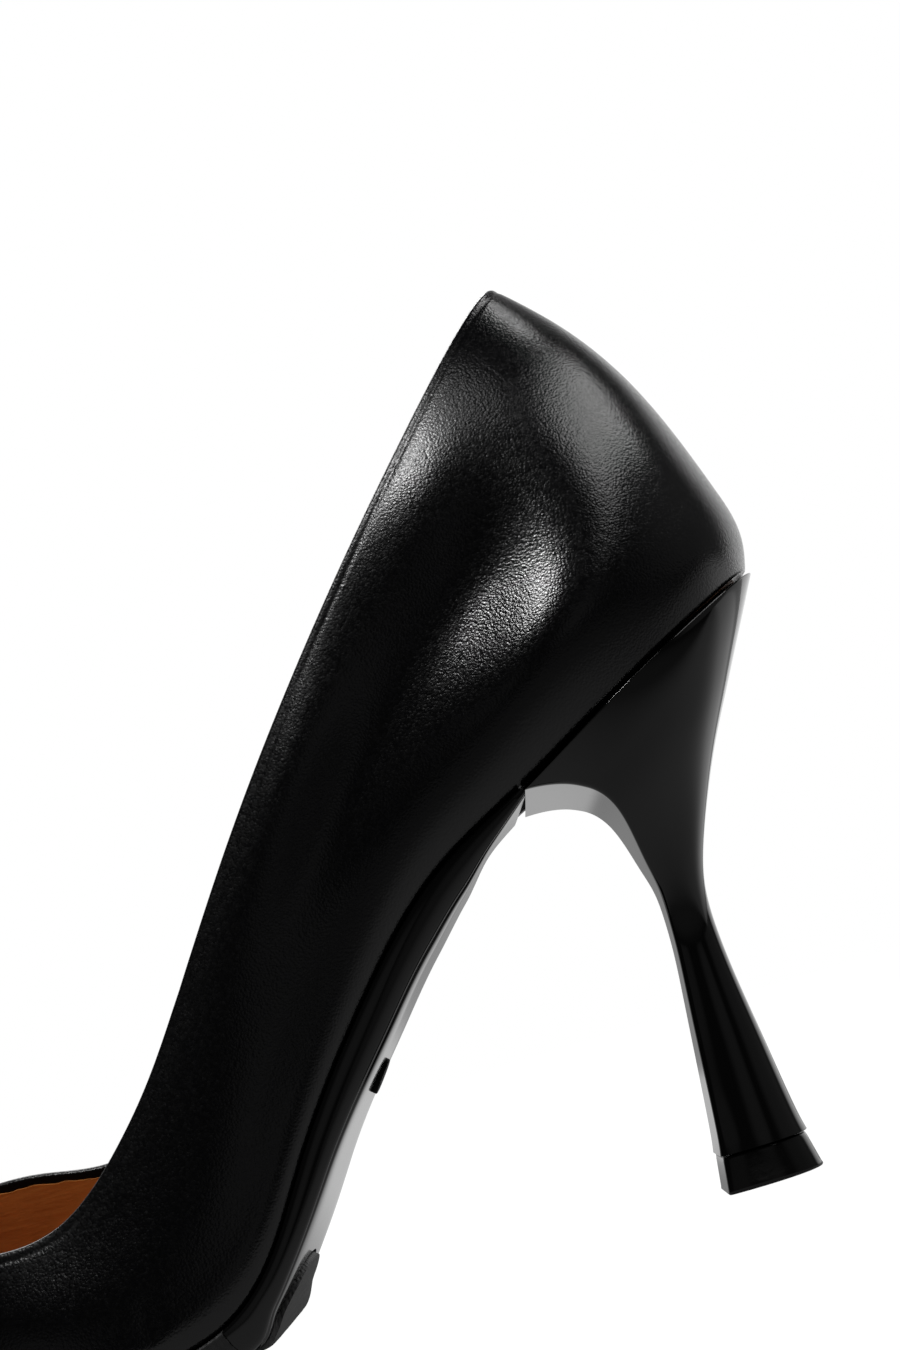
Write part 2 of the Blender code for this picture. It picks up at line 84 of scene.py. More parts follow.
# Ribs of the upper, from the back seam round one side to the toe. fore and top_fore are percent of the
# length, rise is percent of the heel height, the topline's rises are percent of the collar height and the
# half widths are percent of half the ball width. swell is the wall's bulge off its straight chord in mm, at
# the shares of the chord in SWELL_AT.
Rib = namedtuple(
    "Rib", "fore rise outer inner top_fore top_rise_outer top_rise_inner top_outer top_inner swell")
SWELL_AT = (0.05, 0.2, 0.36, 0.55, 0.8)
RIBS = (
    Rib(0.6, 100.0, 0.0, 0.0, 13.0, 100.0, 100.0, 0.0, 0.0, (2.5, 5.4, 6.5, 6.9, 4.5)),
    Rib(1.6, 98.8, 23.9, 23.9, 13.6, 99.3, 99.3, 11.7, 11.7, (2.5, 5.4, 6.5, 6.9, 4.5)),
    Rib(4.2, 95.5, 45.0, 45.0, 15.3, 96.9, 96.9, 24.4, 24.4, (2.7, 5.8, 7.0, 6.8, 4.5)),
    Rib(8.9, 89.8, 61.7, 61.7, 19.0, 90.9, 90.9, 42.8, 42.8, (2.2, 5.8, 6.2, 5.2, 3.0)),
    Rib(15.0, 82.4, 67.2, 67.2, 24.4, 82.2, 82.2, 55.6, 55.6, (2.2, 6.4, 4.7, 1.9, 2.3)),
    Rib(22.4, 73.4, 60.3, 59.7, 31.0, 71.4, 71.4, 63.6, 63.6, (2.2, 5.4, 4.6, 2.1, 1.4)),
    Rib(30.3, 63.9, 56.4, 52.5, 38.5, 58.6, 58.6, 69.2, 68.1, (1.7, 4.0, 3.7, 2.2, 2.6)),
    Rib(37.9, 47.5, 61.7, 49.4, 45.3, 45.6, 45.9, 74.4, 72.2, (1.4, 2.9, 3.1, 2.6, 2.2)),
    Rib(45.4, 25.1, 77.8, 62.5, 51.9, 31.7, 32.5, 80.0, 76.7, (1.4, 2.4, 2.6, 2.4, 1.3)),
    Rib(52.3, 6.2, 94.4, 83.9, 57.2, 22.4, 24.9, 84.5, 80.0, (1.4, 2.4, 2.5, 2.2, 1.0)),
    Rib(59.2, 2.5, 100.0, 95.6, 62.4, 16.8, 21.3, 87.8, 81.4, (1.4, 2.5, 2.6, 2.2, 0.9)),
    Rib(67.1, 2.5, 94.2, 96.7, 68.8, 16.3, 22.2, 86.7, 79.4, (1.4, 2.6, 2.8, 2.4, 1.0)),
    Rib(75.6, 3.1, 76.7, 88.9, 73.9, 18.4, 22.6, 71.7, 69.4, (1.5, 3.0, 3.3, 3.0, 1.5)),
    Rib(84.0, 4.5, 51.1, 72.8, 77.6, 20.8, 23.4, 48.9, 51.7, (1.9, 3.9, 4.3, 4.0, 2.4)),
    Rib(91.5, 6.3, 25.6, 51.7, 79.6, 22.9, 23.9, 22.8, 31.7, (2.4, 4.8, 4.9, 4.3, 2.4)),
    Rib(97.4, 8.0, 3.3, 31.1, 80.3, 23.9, 24.1, 4.2, 18.0, (3.0, 5.4, 5.1, 4.1, 2.0)),
    Rib(99.5, 8.6, -14.4, 14.4, 80.5, 24.2, 24.2, -10.6, 10.6, (3.2, 5.6, 4.8, 3.5, 1.6)),
)

# Sections of the heel from the seat down, each a D with a flat front. Places and half widths are percent of
# the same sizes as the ribs'. squareness is 2 for an ellipse and more for a squarer back.
HeelSection = namedtuple(
    "HeelSection", "back_fore back_rise front_fore front_rise front_half side_half squareness")
HEEL_SECTIONS = (
    HeelSection(0.6, 98.0, 22.7, 71.3, 61.7, 68.6, 2.0),
    HeelSection(1.7, 93.7, 19.2, 71.1, 55.6, 64.4, 2.15),
    HeelSection(3.3, 87.5, 17.2, 69.0, 51.1, 57.8, 2.3),
    HeelSection(5.0, 80.8, 16.1, 65.3, 44.4, 49.7, 2.4),
    HeelSection(6.9, 73.2, 15.5, 60.5, 33.9, 38.9, 2.4),
    HeelSection(8.6, 65.3, 15.1, 56.1, 25.0, 29.4, 2.35),
    HeelSection(10.1, 57.2, 14.7, 51.7, 18.3, 22.2, 2.3),
    HeelSection(11.0, 49.8, 14.6, 46.7, 15.3, 17.8, 2.2),
    HeelSection(11.1, 41.9, 14.7, 40.4, 14.4, 16.1, 2.2),
    HeelSection(10.8, 33.5, 15.0, 33.0, 15.0, 16.9, 2.2),
    HeelSection(10.3, 24.1, 15.4, 23.9, 17.2, 19.4, 2.2),
    HeelSection(9.8, 14.7, 15.8, 14.6, 20.3, 22.8, 2.2),
    HeelSection(9.3, 6.4, 16.2, 6.4, 21.4, 25.0, 2.2),
)
TIP_FOOT = HeelSection(8.8, 0.0, 16.5, 0.0, 21.5, 25.0, 2.2)
# The share of a D's depth that is its straight side, and the ribs that the heel's rim reaches along each side
SIDE_SHARE = 0.38
HEEL_RIBS = 5
# A rounded corner takes at most this share of the front, and columns crowd to the front's edges by this power
CORNER_SHARE = 0.25
FRONT_CROWDING = 1.6
# The line where the cover's ends meet: distance from the front's inner edge, half its width, and its depth
SEAM_INSET = 1.3 * MM
SEAM_HALF = 0.3 * MM
SEAM_DEPTH = 0.12 * MM

# Sole depth at the middle, how much deeper its outer and shallower its inner edge is, and the tread's extra
# over the outsole, in mm and square to the feather line. The floor cuts the tread flat.
SoleRow = namedtuple("SoleRow", "fore depth twist tread")
SOLE_ROWS = (
    SoleRow(23.1, 0.9, 0.5, 0.0),
    SoleRow(26.5, 2.4, 0.9, 0.0),
    SoleRow(30.3, 4.8, 0.5, 0.0),
    SoleRow(34.2, 5.6, 0.2, 0.0),
    SoleRow(37.9, 5.6, 0.1, 0.0),
    SoleRow(45.4, 4.3, 0.1, 0.0),
    SoleRow(48.9, 3.5, 0.1, 0.8),
    SoleRow(50.6, 3.9, 0.1, 0.8),
    SoleRow(52.3, 5.9, 0.0, 0.8),
    SoleRow(61.0, 3.0, 0.0, 0.6),
    SoleRow(100.0, 2.8, 0.0, 0.0),
)
# The sole's section: columns across, squareness of its rounded underside, and as shares of its depth the
# upright rim and how far the side draws in below it
SOLE_COLUMNS = 45
SOLE_SQUARENESS = 7.0
SOLE_RIM = 0.4
SOLE_DRAW = 0.4
# Shares across where the top's shoulders begin, and where columns crowd to show the fine line
SOLE_TOP_SHARE = 0.91
SOLE_LINE_SHARES = (0.93, 0.943, 0.956, 0.969, 0.982)
# How the upper's lower edge turns in, in mm, where less than nothing is up
TuckRow = namedtuple("TuckRow", "inset heel_drop sole_drop")
TUCK = (
    TuckRow(3.2, -0.5, 0.2),
    TuckRow(1.8, -0.5, 0.2),
    TuckRow(0.9, -0.35, 0.2),
    TuckRow(0.5, -0.15, 0.18),
    TuckRow(0.22, 0.0, 0.12),
    TuckRow(0.06, 0.03, 0.05),
)
# Soft creases in the upper: shares round the shoe and mm over its lower edge at both ends, then half the
# width and the depth in mm, where less than nothing is a ridge
Crease = namedtuple("Crease", "share low end_share high half_width depth")
CREASES = (
    Crease(0.313, 4.5, 0.311, 8.5, 1.6, 0.22),
    Crease(0.231, 30.0, 0.236, 25.0, 1.5, 0.06),
    Crease(0.235, 29.0, 0.239, 24.0, 1.5, 0.05),
)
# Places along the shoe in percent of its length, then how the joints' lines bow across it and the share
# across where the tread's rim starts
OUTSOLE_START = 22.75
TREAD_REAR = 48.9
STUD_FORE = 41.1
TAIL_BOW = 0.75
TREAD_SWEEP_POWER = 3.0
TREAD_EDGE_START = 0.8

# The photograph's camera, found from the shoe: pixels of a 900 x 1350 frame, and the eye in the shoe's frame
PHOTO_CENTRE = (450.0, 675.0)
PHOTO_HEIGHT = 1350.0
FOCAL_PIXELS = 2256.0
CROSSWAYS_VANISH = (528.0, 1040.0)
CAMERA_ROLL = math.radians(16.8)
EYE = (48.09 * MM, -371.46 * MM, 32.18 * MM)
SENSOR = 36.0


def linear(hex_colour):
    """An sRGB hex colour as linear red, green and blue."""
    parts = [int(hex_colour[i:i + 2], 16) / 255.0 for i in (0, 2, 4)]
    return tuple(c / 12.92 if c <= 0.04045 else ((c + 0.055) / 1.055) ** 2.4 for c in parts)


def size(name, description, millimetres):
    """A length that a user would change, in a field of its own."""
    return FloatProperty(
        name=name, description=description, default=millimetres * MM, min=0.0, unit="LENGTH", precision=4)


def colour(name, description, hex_colour):
    """A colour that a user would change, given as sRGB hex."""
    return FloatVectorProperty(
        name=name, description=description, default=linear(hex_colour), size=3, min=0.0, max=1.0,
        subtype="COLOR")


class PumpSizes(bpy.types.PropertyGroup):
    """Driving sizes of the shoe and of its thin edges."""

    length: size("Length", "Rearmost point to toe tip", 213.0)
    ball_width: size("Ball width", "Across the feather line at the ball of the foot", 72.0)
    heel_height: size("Heel height", "Floor to the feather line at the back", 95.5)
    collar_height: size("Collar height", "Floor to the topline at the back", 155.7)
    wall: size("Wall", "Upper with its lining", 1.8)
    gap: size("Gap", "Between pieces that meet", 0.3)
    seam: size("Seam", "Open part of the joint between upper and sole", 0.12)
    rand: size("Rand", "How far sole and heel stand out past the feather line", 0.9)
    skin: size("Skin", "Thickness of the upper's leather", 0.5)
    fold: size("Fold", "Thickness of the topline's folded edge", 1.3)
    fold_groove: size("Fold groove", "Depth of the dent under the topline's folded edge", 0.09)
    top_ease: size("Top ease", "How far the upper leans in at its topline", 0.1)
    hug: size("Hug", "How far the upper's lower edge rolls out onto the sole", 0.45)
    heel_groove: size("Heel groove", "Rounding of the upper's lower edge over the heel", 0.5)
    sole_groove: size("Sole groove", "Rounding of the upper's lower edge over the sole", 0.8)
    band: size("Band", "Black leather showing inside, from the topline to the lining's edge", 1.7)
    lining: size("Lining", "Thickness of the lining leather", 0.42)
    trim_wave: size("Trim wave", "How far the lining's trimmed edge wavers", 0.22)
    insole: size("Insole", "Thickness of the insole", 2.0)
    sole_shoulder: size("Sole shoulder", "Radius of the sole's upper edge", 0.5)
    sole_least: size("Sole least", "Where the sole is thinnest, at its tail's inner edge", 0.3)
    sole_line: size("Sole line", "Depth of the fine line where the sole's side ends", 0.3)
    sole_line_width: size("Sole line width", "Half the width of that line", 0.35)
    tail_slant: size("Tail slant", "How much further off the heel the outsole stops on its inner side", 2.0)
    tread_sweep: size("Tread sweep", "How far the tread's rear edge runs forward at the sides", 9.0)
    tread_edge: size("Tread edge", "How far the tread's rim is rounded up from the floor", 0.5)
    floor_ease: size("Floor ease", "Height over which the sole flattens onto the floor", 0.5)
    heel_corner: size("Heel corner", "Rounding of the heel's front corners", 0.8)
    front_joint: size("Front joint", "How much wider the joint over the heel gets at its front corners", 0.7)
    heel_lip: size("Heel lip", "Flare of the heel's cover above its tip", 0.2)
    tip_height: size("Tip height", "Heel tip, floor to joint", 5.8)
    tip_inset: size("Tip inset", "Heel tip's upper edge, inside the heel's lip", 0.2)
    stud_diameter: size("Stud diameter", "Plain stud under the waist", 6.0)
    stud_thickness: size("Stud thickness", "Stud with its seat in the sole", 0.9)


class PumpColours(bpy.types.PropertyGroup):
    """Colours of the shoe's materials and of the floor."""

    calf: colour("Calf", "Black polished calf of the upper", "040405")
    cover: colour("Heel cover", "Black glazed leather of the heel", "060606")
    lacquer: colour("Sole lacquer", "Black lacquered sole leather", "070707")
    # The tread's black also colours the insole board, whose black underside and edge paint shade into the
    # joint under the upper
    tread: colour("Tread", "Black rubber of the forefoot", "111111")
    tip: colour("Tip", "Black moulded rubber of the heel tip", "0A0A0A")
    stud: colour("Stud", "Matte black of the stud", "0C0C0C")
    lining: colour("Lining", "Saddle tan lining leather", "C07836")
    lining_dark: colour("Lining shade", "Darker patches of the lining leather", "9A5823")
    floor: colour("Floor", "White studio floor", "F4F4F4")


def along(percent, sizes):
    """A share of the shoe's length."""
    return percent * sizes.length / 100.0


def across(percent, sizes):
    """A share of half the ball width."""
    return percent * sizes.ball_width / 200.0


def unit(vectors):
    """Vectors brought to a length of one."""
    return vectors / np.linalg.norm(vectors, axis=-1, keepdims=True)


def spline(knots, values, closed=False):
    """A smooth curve through rows of values, with free ends or closed on itself."""
    t = np.asarray(knots, float)
    p = np.asarray(values, float)
    last = len(t) - 1
    h = np.diff(t)
    slope = np.diff(p, axis=0) / h[:, None]
    system = np.zeros((last + 1, last + 1))
    right = np.zeros_like(p)
    for i in range(1, last):
        system[i, i - 1:i + 2] = h[i - 1], 2.0 * (h[i - 1] + h[i]), h[i]
        right[i] = 6.0 * (slope[i] - slope[i - 1])
    system[0, 0] = 1.0
    system[last, last] = 1.0
    if closed:
        system[0, last] = -1.0
        system[last, [0, 1, last - 1, last]] = 2.0 * h[0], h[0], h[-1], 2.0 * h[-1]
        right[last] = 6.0 * (slope[0] - slope[-1])
    bend = np.linalg.solve(system, right)

    def at(query):
        q = np.atleast_1d(np.asarray(query, float))
        i = np.clip(np.searchsorted(t, q, side="right") - 1, 0, last - 1)
        span = h[i][:, None]
        before = (q - t[i])[:, None]
        after = span - before
        curved = (bend[i] * after**3 + bend[i + 1] * before**3) / (6.0 * span)
        straight = (p[i] / span - bend[i] * span / 6.0) * after
        return curved + straight + (p[i + 1] / span - bend[i + 1] * span / 6.0) * before

    return at


def steady_curve(knots, values):
    """A curve through rows of values that never swings past them."""
    t = np.asarray(knots, float)
    p = np.asarray(values, float)
    h = np.diff(t)[:, None]
    slope = np.diff(p, axis=0) / h
    same_way = slope[:-1] * slope[1:] > 0.0
    both = np.where(same_way, slope[:-1] + slope[1:], 1.0)
    lean = np.where(same_way, 2.0 * slope[:-1] * slope[1:] / both, 0.0)
    lean = np.concatenate((slope[:1], lean, slope[-1:]))

    def at(query):
        i = np.clip(np.searchsorted(t, query, side="right") - 1, 0, len(h) - 1)
        u = (query - t[i])[:, None] / h[i]
        level = p[i] * (1.0 + 2.0 * u) * (1.0 - u) ** 2 + p[i + 1] * u**2 * (3.0 - 2.0 * u)
        return level + h[i] * (lean[i] * u * (1.0 - u) ** 2 - lean[i + 1] * u**2 * (1.0 - u))

    return at


class Last:
    """The shoe's form, in fore, side and rise: feather line, topline and wall by share round the shoe.

    Shares round the shoe run from 0 at the back over the outer side and the toe to 1 at the back again.
    """

    nudge = 1e-4

    def __init__(self, sizes):
        self.sizes = sizes
        rows = [self.rib_values(rib, "outer") for rib in RIBS]
        rows += [self.rib_values(rib, "inner") for rib in RIBS[-2:0:-1]]
        rows.append(rows[0])
        rows = np.array(rows)
        self.count = len(rows) - 1
        steps = np.linalg.norm(np.diff(rows[:, :3], axis=0), axis=1)
        self.knots = np.concatenate(([0.0], np.cumsum(steps)))
        self.curve = spline(self.knots, rows, closed=True)
        self.swell_shape = spline((0.0,) + SWELL_AT + (1.0,), np.eye(len(SWELL_AT) + 2))

    def rib_values(self, rib, side):
        """Feather point, topline point and swell of a rib on one side of the foot."""
        sizes = self.sizes
        outer = side == "outer"
        half = -across(rib.outer, sizes) if outer else across(rib.inner, sizes)
        top_half = -across(rib.top_outer, sizes) if outer else across(rib.top_inner, sizes)
        top_rise = rib.top_rise_outer if outer else rib.top_rise_inner
        feather = (along(rib.fore, sizes), half, rib.rise * sizes.heel_height / 100.0)
        topline = (along(rib.top_fore, sizes), top_half, top_rise * sizes.collar_height / 100.0)
        return feather + topline + tuple(bulge * MM for bulge in rib.swell)

    def ring(self, round_shares):
        """Feather points, topline points and swells at shares round the shoe."""
        place = np.mod(round_shares, 1.0) * self.count
        values = self.curve(np.interp(place, np.arange(self.count + 1), self.knots))
        return values[:, :3], values[:, 3:6], values[:, 6:]

    def level_out(self, round_shares):
        """Outward level directions at the feather line."""
        run = self.ring(round_shares + self.nudge)[0] - self.ring(round_shares - self.nudge)[0]
        return unit(np.stack((run[:, 1], -run[:, 0], np.zeros(len(run))), axis=1))

    def rib_length(self, round_shares):
        """Straight distance from the feather line to the topline."""
        feather, topline, _ = self.ring(round_shares)
        return np.linalg.norm(topline - feather, axis=1)

    def outer(self, round_shares, up):
        """Points of the outer face, for rows of shares up the wall and columns of shares round the shoe."""
        feather, topline, swell = self.ring(round_shares)
        chord = topline - feather
        lean = unit(chord)
        out = self.level_out(round_shares)
        out = unit(out - lean * np.sum(out * lean, axis=1)[:, None])
        weights = self.swell_shape(up.ravel()).reshape(up.shape + (-1,))[..., 1:-1]
        bulge = np.einsum("rcs,cs->rc", weights, swell)
        return feather + up[..., None] * chord + bulge[..., None] * out

    def frame_at(self, round_shares, up):
        """Points of the outer face with their outward normals and their directions up the wall."""
        round_run = self.outer(round_shares + self.nudge, up) - self.outer(round_shares - self.nudge, up)
        up_run = self.outer(round_shares, up + self.nudge) - self.outer(round_shares, up - self.nudge)
        return self.outer(round_shares, up), unit(np.cross(round_run, up_run)), unit(up_run)


class Outline:
    """The feather line moved outward in plan: its two sides by distance fore."""

    samples = 1536

    def __init__(self, last, margin):
        shares = np.arange(self.samples) / self.samples
        moved = last.ring(shares)[0] + margin * last.level_out(shares)
        half = self.samples // 2
        self.outer = moved[:half + 1]
        self.inner = np.concatenate((moved[:1], moved[:half - 1:-1]))
        self.start = moved[0, 0]
        self.end = moved[half, 0]

    def side(self, fore, share):
        """Side distance at a share across."""
        outer = np.interp(fore, self.outer[:, 0], self.outer[:, 1])
        inner = np.interp(fore, self.inner[:, 0], self.inner[:, 1])
        return outer + (inner - outer) * (share + 1.0) / 2.0


def feather_profile(last, samples=769):
    """Rise of the feather line by distance fore, and the direction square to it, pointing down."""
    side = last.ring(np.linspace(0.0, 0.5, samples))[0]
    slope = np.gradient(side[:, 2], side[:, 0])

    def at(fore):
        rise = np.interp(fore, side[:, 0], side[:, 2])
        tilt = np.interp(fore, side[:, 0], slope)
        return rise, unit(np.stack((tilt, np.zeros_like(tilt), -np.ones_like(tilt)), axis=-1))

    return at


def sole_shares():
    """Shares across for the sole's top, with room for its shoulders, and for its rounded underside."""
    line = np.array(SOLE_LINE_SHARES)
    under = np.sort(np.concatenate((-line, -np.cos(np.linspace(0.0, math.pi, SOLE_COLUMNS)), line)))
    top = np.linspace(-SOLE_TOP_SHARE, SOLE_TOP_SHARE, len(under) - 2)
    return np.concatenate(([-1.0], top, [1.0]))[None], under[None]


def sole_top(last, fore, share):
    """Points of the sole's upper face for grids of distance fore and share across."""
    rise, down = feather_profile(last)(fore)
    side = Outline(last, last.sizes.rand).side(fore, share)
    return np.stack((fore, side, rise), axis=-1) + last.sizes.seam * down


def sole_bottom(last, fore, share, treaded):
    """Points of the sole's rounded underside for grids of distance fore and share across."""
    sizes = last.sizes
    outline = Outline(last, sizes.rand)
    rise, down = feather_profile(last)(fore)
    rows = steady_curve([along(row.fore, sizes) for row in SOLE_ROWS], [row[1:] for row in SOLE_ROWS])
    depth, twist, tread = MM * rows(fore.ravel()).T.reshape((3,) + fore.shape)
    fullness = np.clip(1.0 - np.abs(share) ** SOLE_SQUARENESS, 0.0, 1.0) ** (1.0 / SOLE_SQUARENESS)
    thick = depth * (SOLE_RIM + (1.0 - SOLE_RIM) * fullness) - twist * share + tread * treaded
    thick = np.maximum(thick, sizes.sole_least)
    half_width = (outline.side(fore, 1.0) - outline.side(fore, -1.0)) / 2.0
    to_line = (np.abs(share) - np.mean(SOLE_LINE_SHARES)) * half_width
    thick -= sizes.sole_line * np.exp(-(to_line / sizes.sole_line_width) ** 2)
    side = outline.side(fore, share) - SOLE_DRAW * depth * fullness * share
    bottom = np.stack((fore, side, rise), axis=-1) + (sizes.gap + thick)[..., None] * down
    ease = sizes.floor_ease
    eased = np.clip(bottom[..., 2] + ease, 0.0, 2.0 * ease) ** 2 / (4.0 * ease)
    bottom[..., 2] = eased + np.maximum(bottom[..., 2] - ease, 0.0)
    return bottom


def tread_rear(share, sizes):
    """Distance fore of the joint between outsole and tread, by share across."""
    return along(TREAD_REAR, sizes) + sizes.tread_sweep * np.abs(share) ** TREAD_SWEEP_POWER


def sole_loops(last, stations, treaded):
    """Loops of a piece of the sole, whose stations' distances fore are a function of the share across."""
    sizes = last.sizes
    top_share, under_share = sole_shares()
    top = sole_top(last, *np.broadcast_arrays(stations(top_share), top_share))
    bottom = sole_bottom(last, *np.broadcast_arrays(stations(under_share), under_share), treaded)
    if treaded:
        at_edge = np.clip((np.abs(under_share) - TREAD_EDGE_START) / (1.0 - TREAD_EDGE_START), 0.0, 1.0)
        bottom[..., 2] += sizes.tread_edge * at_edge**2
    return slab_loops(top, bottom, sizes.sole_shoulder, 0.0)


def frame_shift(last, columns=384, rows=40):
    """How far the shoe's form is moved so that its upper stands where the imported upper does."""
    up = np.linspace(0.0, 1.0, rows)[:, None] + np.zeros((1, columns))
    surface = last.outer(np.arange(columns) / columns, up)
    low, high = surface.min(axis=(0, 1)), surface.max(axis=(0, 1))
    packed_low, packed_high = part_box("upper")
    return np.array((
        (packed_low.x + packed_high.x) / 2.0 + (low[0] + high[0]) / 2.0,
        (packed_low.y + packed_high.y) / 2.0 - (low[1] + high[1]) / 2.0,
        0.0))


def to_frame(last, points):
    """Points in fore, side and rise as points of the shoe's frame."""
    return points * np.array((-1.0, 1.0, 1.0)) + frame_shift(last)


def lay_grid(name, points):
    """A grid primitive laid on rows of points and welded where they meet."""
    rows, columns = points.shape[:2]
    bpy.ops.object.select_all(action="DESELECT")
    bpy.ops.mesh.primitive_grid_add(x_subdivisions=columns - 1, y_subdivisions=rows - 1, size=1.0)
    piece = bpy.context.object
    piece.name = name
    piece.data.name = name
    flat = np.empty(len(piece.data.vertices) * 3)
    piece.data.vertices.foreach_get("co", flat)
    place = flat.reshape(-1, 3) + 0.5
    row = np.rint(place[:, 1] * (rows - 1)).astype(int)
    column = np.rint(place[:, 0] * (columns - 1)).astype(int)
    piece.data.vertices.foreach_set("co", points[row, column].ravel())
    piece.data.update()
    bpy.ops.object.mode_set(mode="EDIT")
    bpy.ops.mesh.select_all(action="SELECT")
    bpy.ops.mesh.remove_doubles(threshold=WELD)
    bpy.ops.object.mode_set(mode="OBJECT")
    return piece


def lay_solid(name, loops):
    """A closed solid through loops of points whose first and last loops are folded flat."""
    piece = lay_grid(name, np.concatenate((loops, loops[:, :1]), axis=1))
    bpy.ops.object.mode_set(mode="EDIT")
    bpy.ops.mesh.select_all(action="SELECT")
    bpy.ops.mesh.normals_make_consistent(inside=False)
    bpy.ops.object.mode_set(mode="OBJECT")
    return piece


def thicken(piece, thickness):
    """Gives a sheet its thickness, inward from its face."""
    wall = piece.modifiers.new("thickness", "SOLIDIFY")
    wall.thickness = thickness
    wall.offset = -1.0
    bpy.ops.object.modifier_apply(modifier=wall.name)


def dress(piece, material, node):
    """Finishes a piece: smooth shading, material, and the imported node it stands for."""
    piece.data.materials.clear()
    piece.data.materials.append(material)
    bpy.ops.object.shade_smooth_by_angle(angle=SMOOTH_ANGLE)
    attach(piece, "root")
    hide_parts(node)


def arc(steps):
    """Angles of a quarter turn."""
    return np.linspace(0.0, math.pi / 2.0, steps)


def slab_loops(top, bottom, top_round, bottom_round, steps=8):
    """Loops round a slab of matching top and bottom grids, [station, column], with its long edges rounded.

    Each loop's second half mirrors its first, so a loop averaged with its reverse is folded flat. Such a loop
    closes the slab at each end.
    """
    def edge(side, inner):
        upper, lower = top[:, side], bottom[:, side]
        down = unit(lower - upper)
        into = unit(top[:, inner] - upper)
        room = ROUND_ROOM * np.linalg.norm(top[:, inner] - upper, axis=1)
        room = np.minimum(room, ROUND_DEPTH * np.linalg.norm(lower - upper, axis=1))
        into_low = unit(bottom[:, inner] - lower)
        round_top = np.minimum(top_round, room)[:, None]
        round_low = np.minimum(bottom_round, room)[:, None]
        above = [
            upper + into * round_top * (1.0 - math.cos(a)) + down * round_top * (1.0 - math.sin(a))
            for a in arc(steps)]
        below = [
            lower + into_low * round_low * (1.0 - math.sin(a)) - down * round_low * (1.0 - math.cos(a))
            for a in arc(steps)]
        return above, below

    outer_above, outer_below = edge(0, 1)
    inner_above, inner_below = edge(-1, -2)
    columns = range(1, top.shape[1] - 1)
    half = outer_above + [top[:, j] for j in columns] + inner_above[::-1]
    other = inner_below[::-1] + [bottom[:, j] for j in reversed(columns)] + outer_below
    loops = np.stack(half + other, axis=1)
    ends = (loops[[0, -1]] + loops[[0, -1], ::-1]) / 2.0
    return np.concatenate((ends[:1], loops, ends[1:]))


def add_node(tree, kind, values=None, links=None, **settings):
    """Adds a node with its options and socket values, and links its inputs from other nodes' outputs."""
    made = tree.nodes.new(kind)
    for name, value in settings.items():
        setattr(made, name, value)
    for socket, value in (values or {}).items():
        made.inputs[socket].default_value = value
    for socket, (source, output) in (links or {}).items():
        tree.links.new(source.outputs[output], made.inputs[socket])
    return made


def new_material(name, values):
    """A material with an empty tree but for its shader, and that tree and shader."""
    made = bpy.data.materials.get(name) or bpy.data.materials.new(name)
    made.use_nodes = True
    tree = made.node_tree
    tree.nodes.clear()
    shader = add_node(tree, "ShaderNodeBsdfPrincipled", values)
    add_node(tree, "ShaderNodeOutputMaterial", links={"Surface": (shader, "BSDF")})
    return made, tree, shader


def plain_finish(name, tone, roughness, specular):
    """A finish of one tone, without relief."""
    made, _, _ = new_material(name, {
        "Base Color": (*tone, 1.0), "Roughness": roughness, "Specular IOR Level": specular})
    return made


def make_uneven(tree, shader, spacing, detail, strength, depth):
    """Bumps a finish with a soft noise of a spacing and depth in metres."""
    place = add_node(tree, "ShaderNodeTexCoord")
    noise = add_node(
        tree, "ShaderNodeTexNoise", {"Scale": 1.0 / spacing, "Detail": detail}, {"Vector": (place, "Object")})
    bump = add_node(
        tree, "ShaderNodeBump", {"Strength": strength, "Distance": depth}, {"Height": (noise, "Fac")})
    tree.links.new(bump.outputs["Normal"], shader.inputs["Normal"])


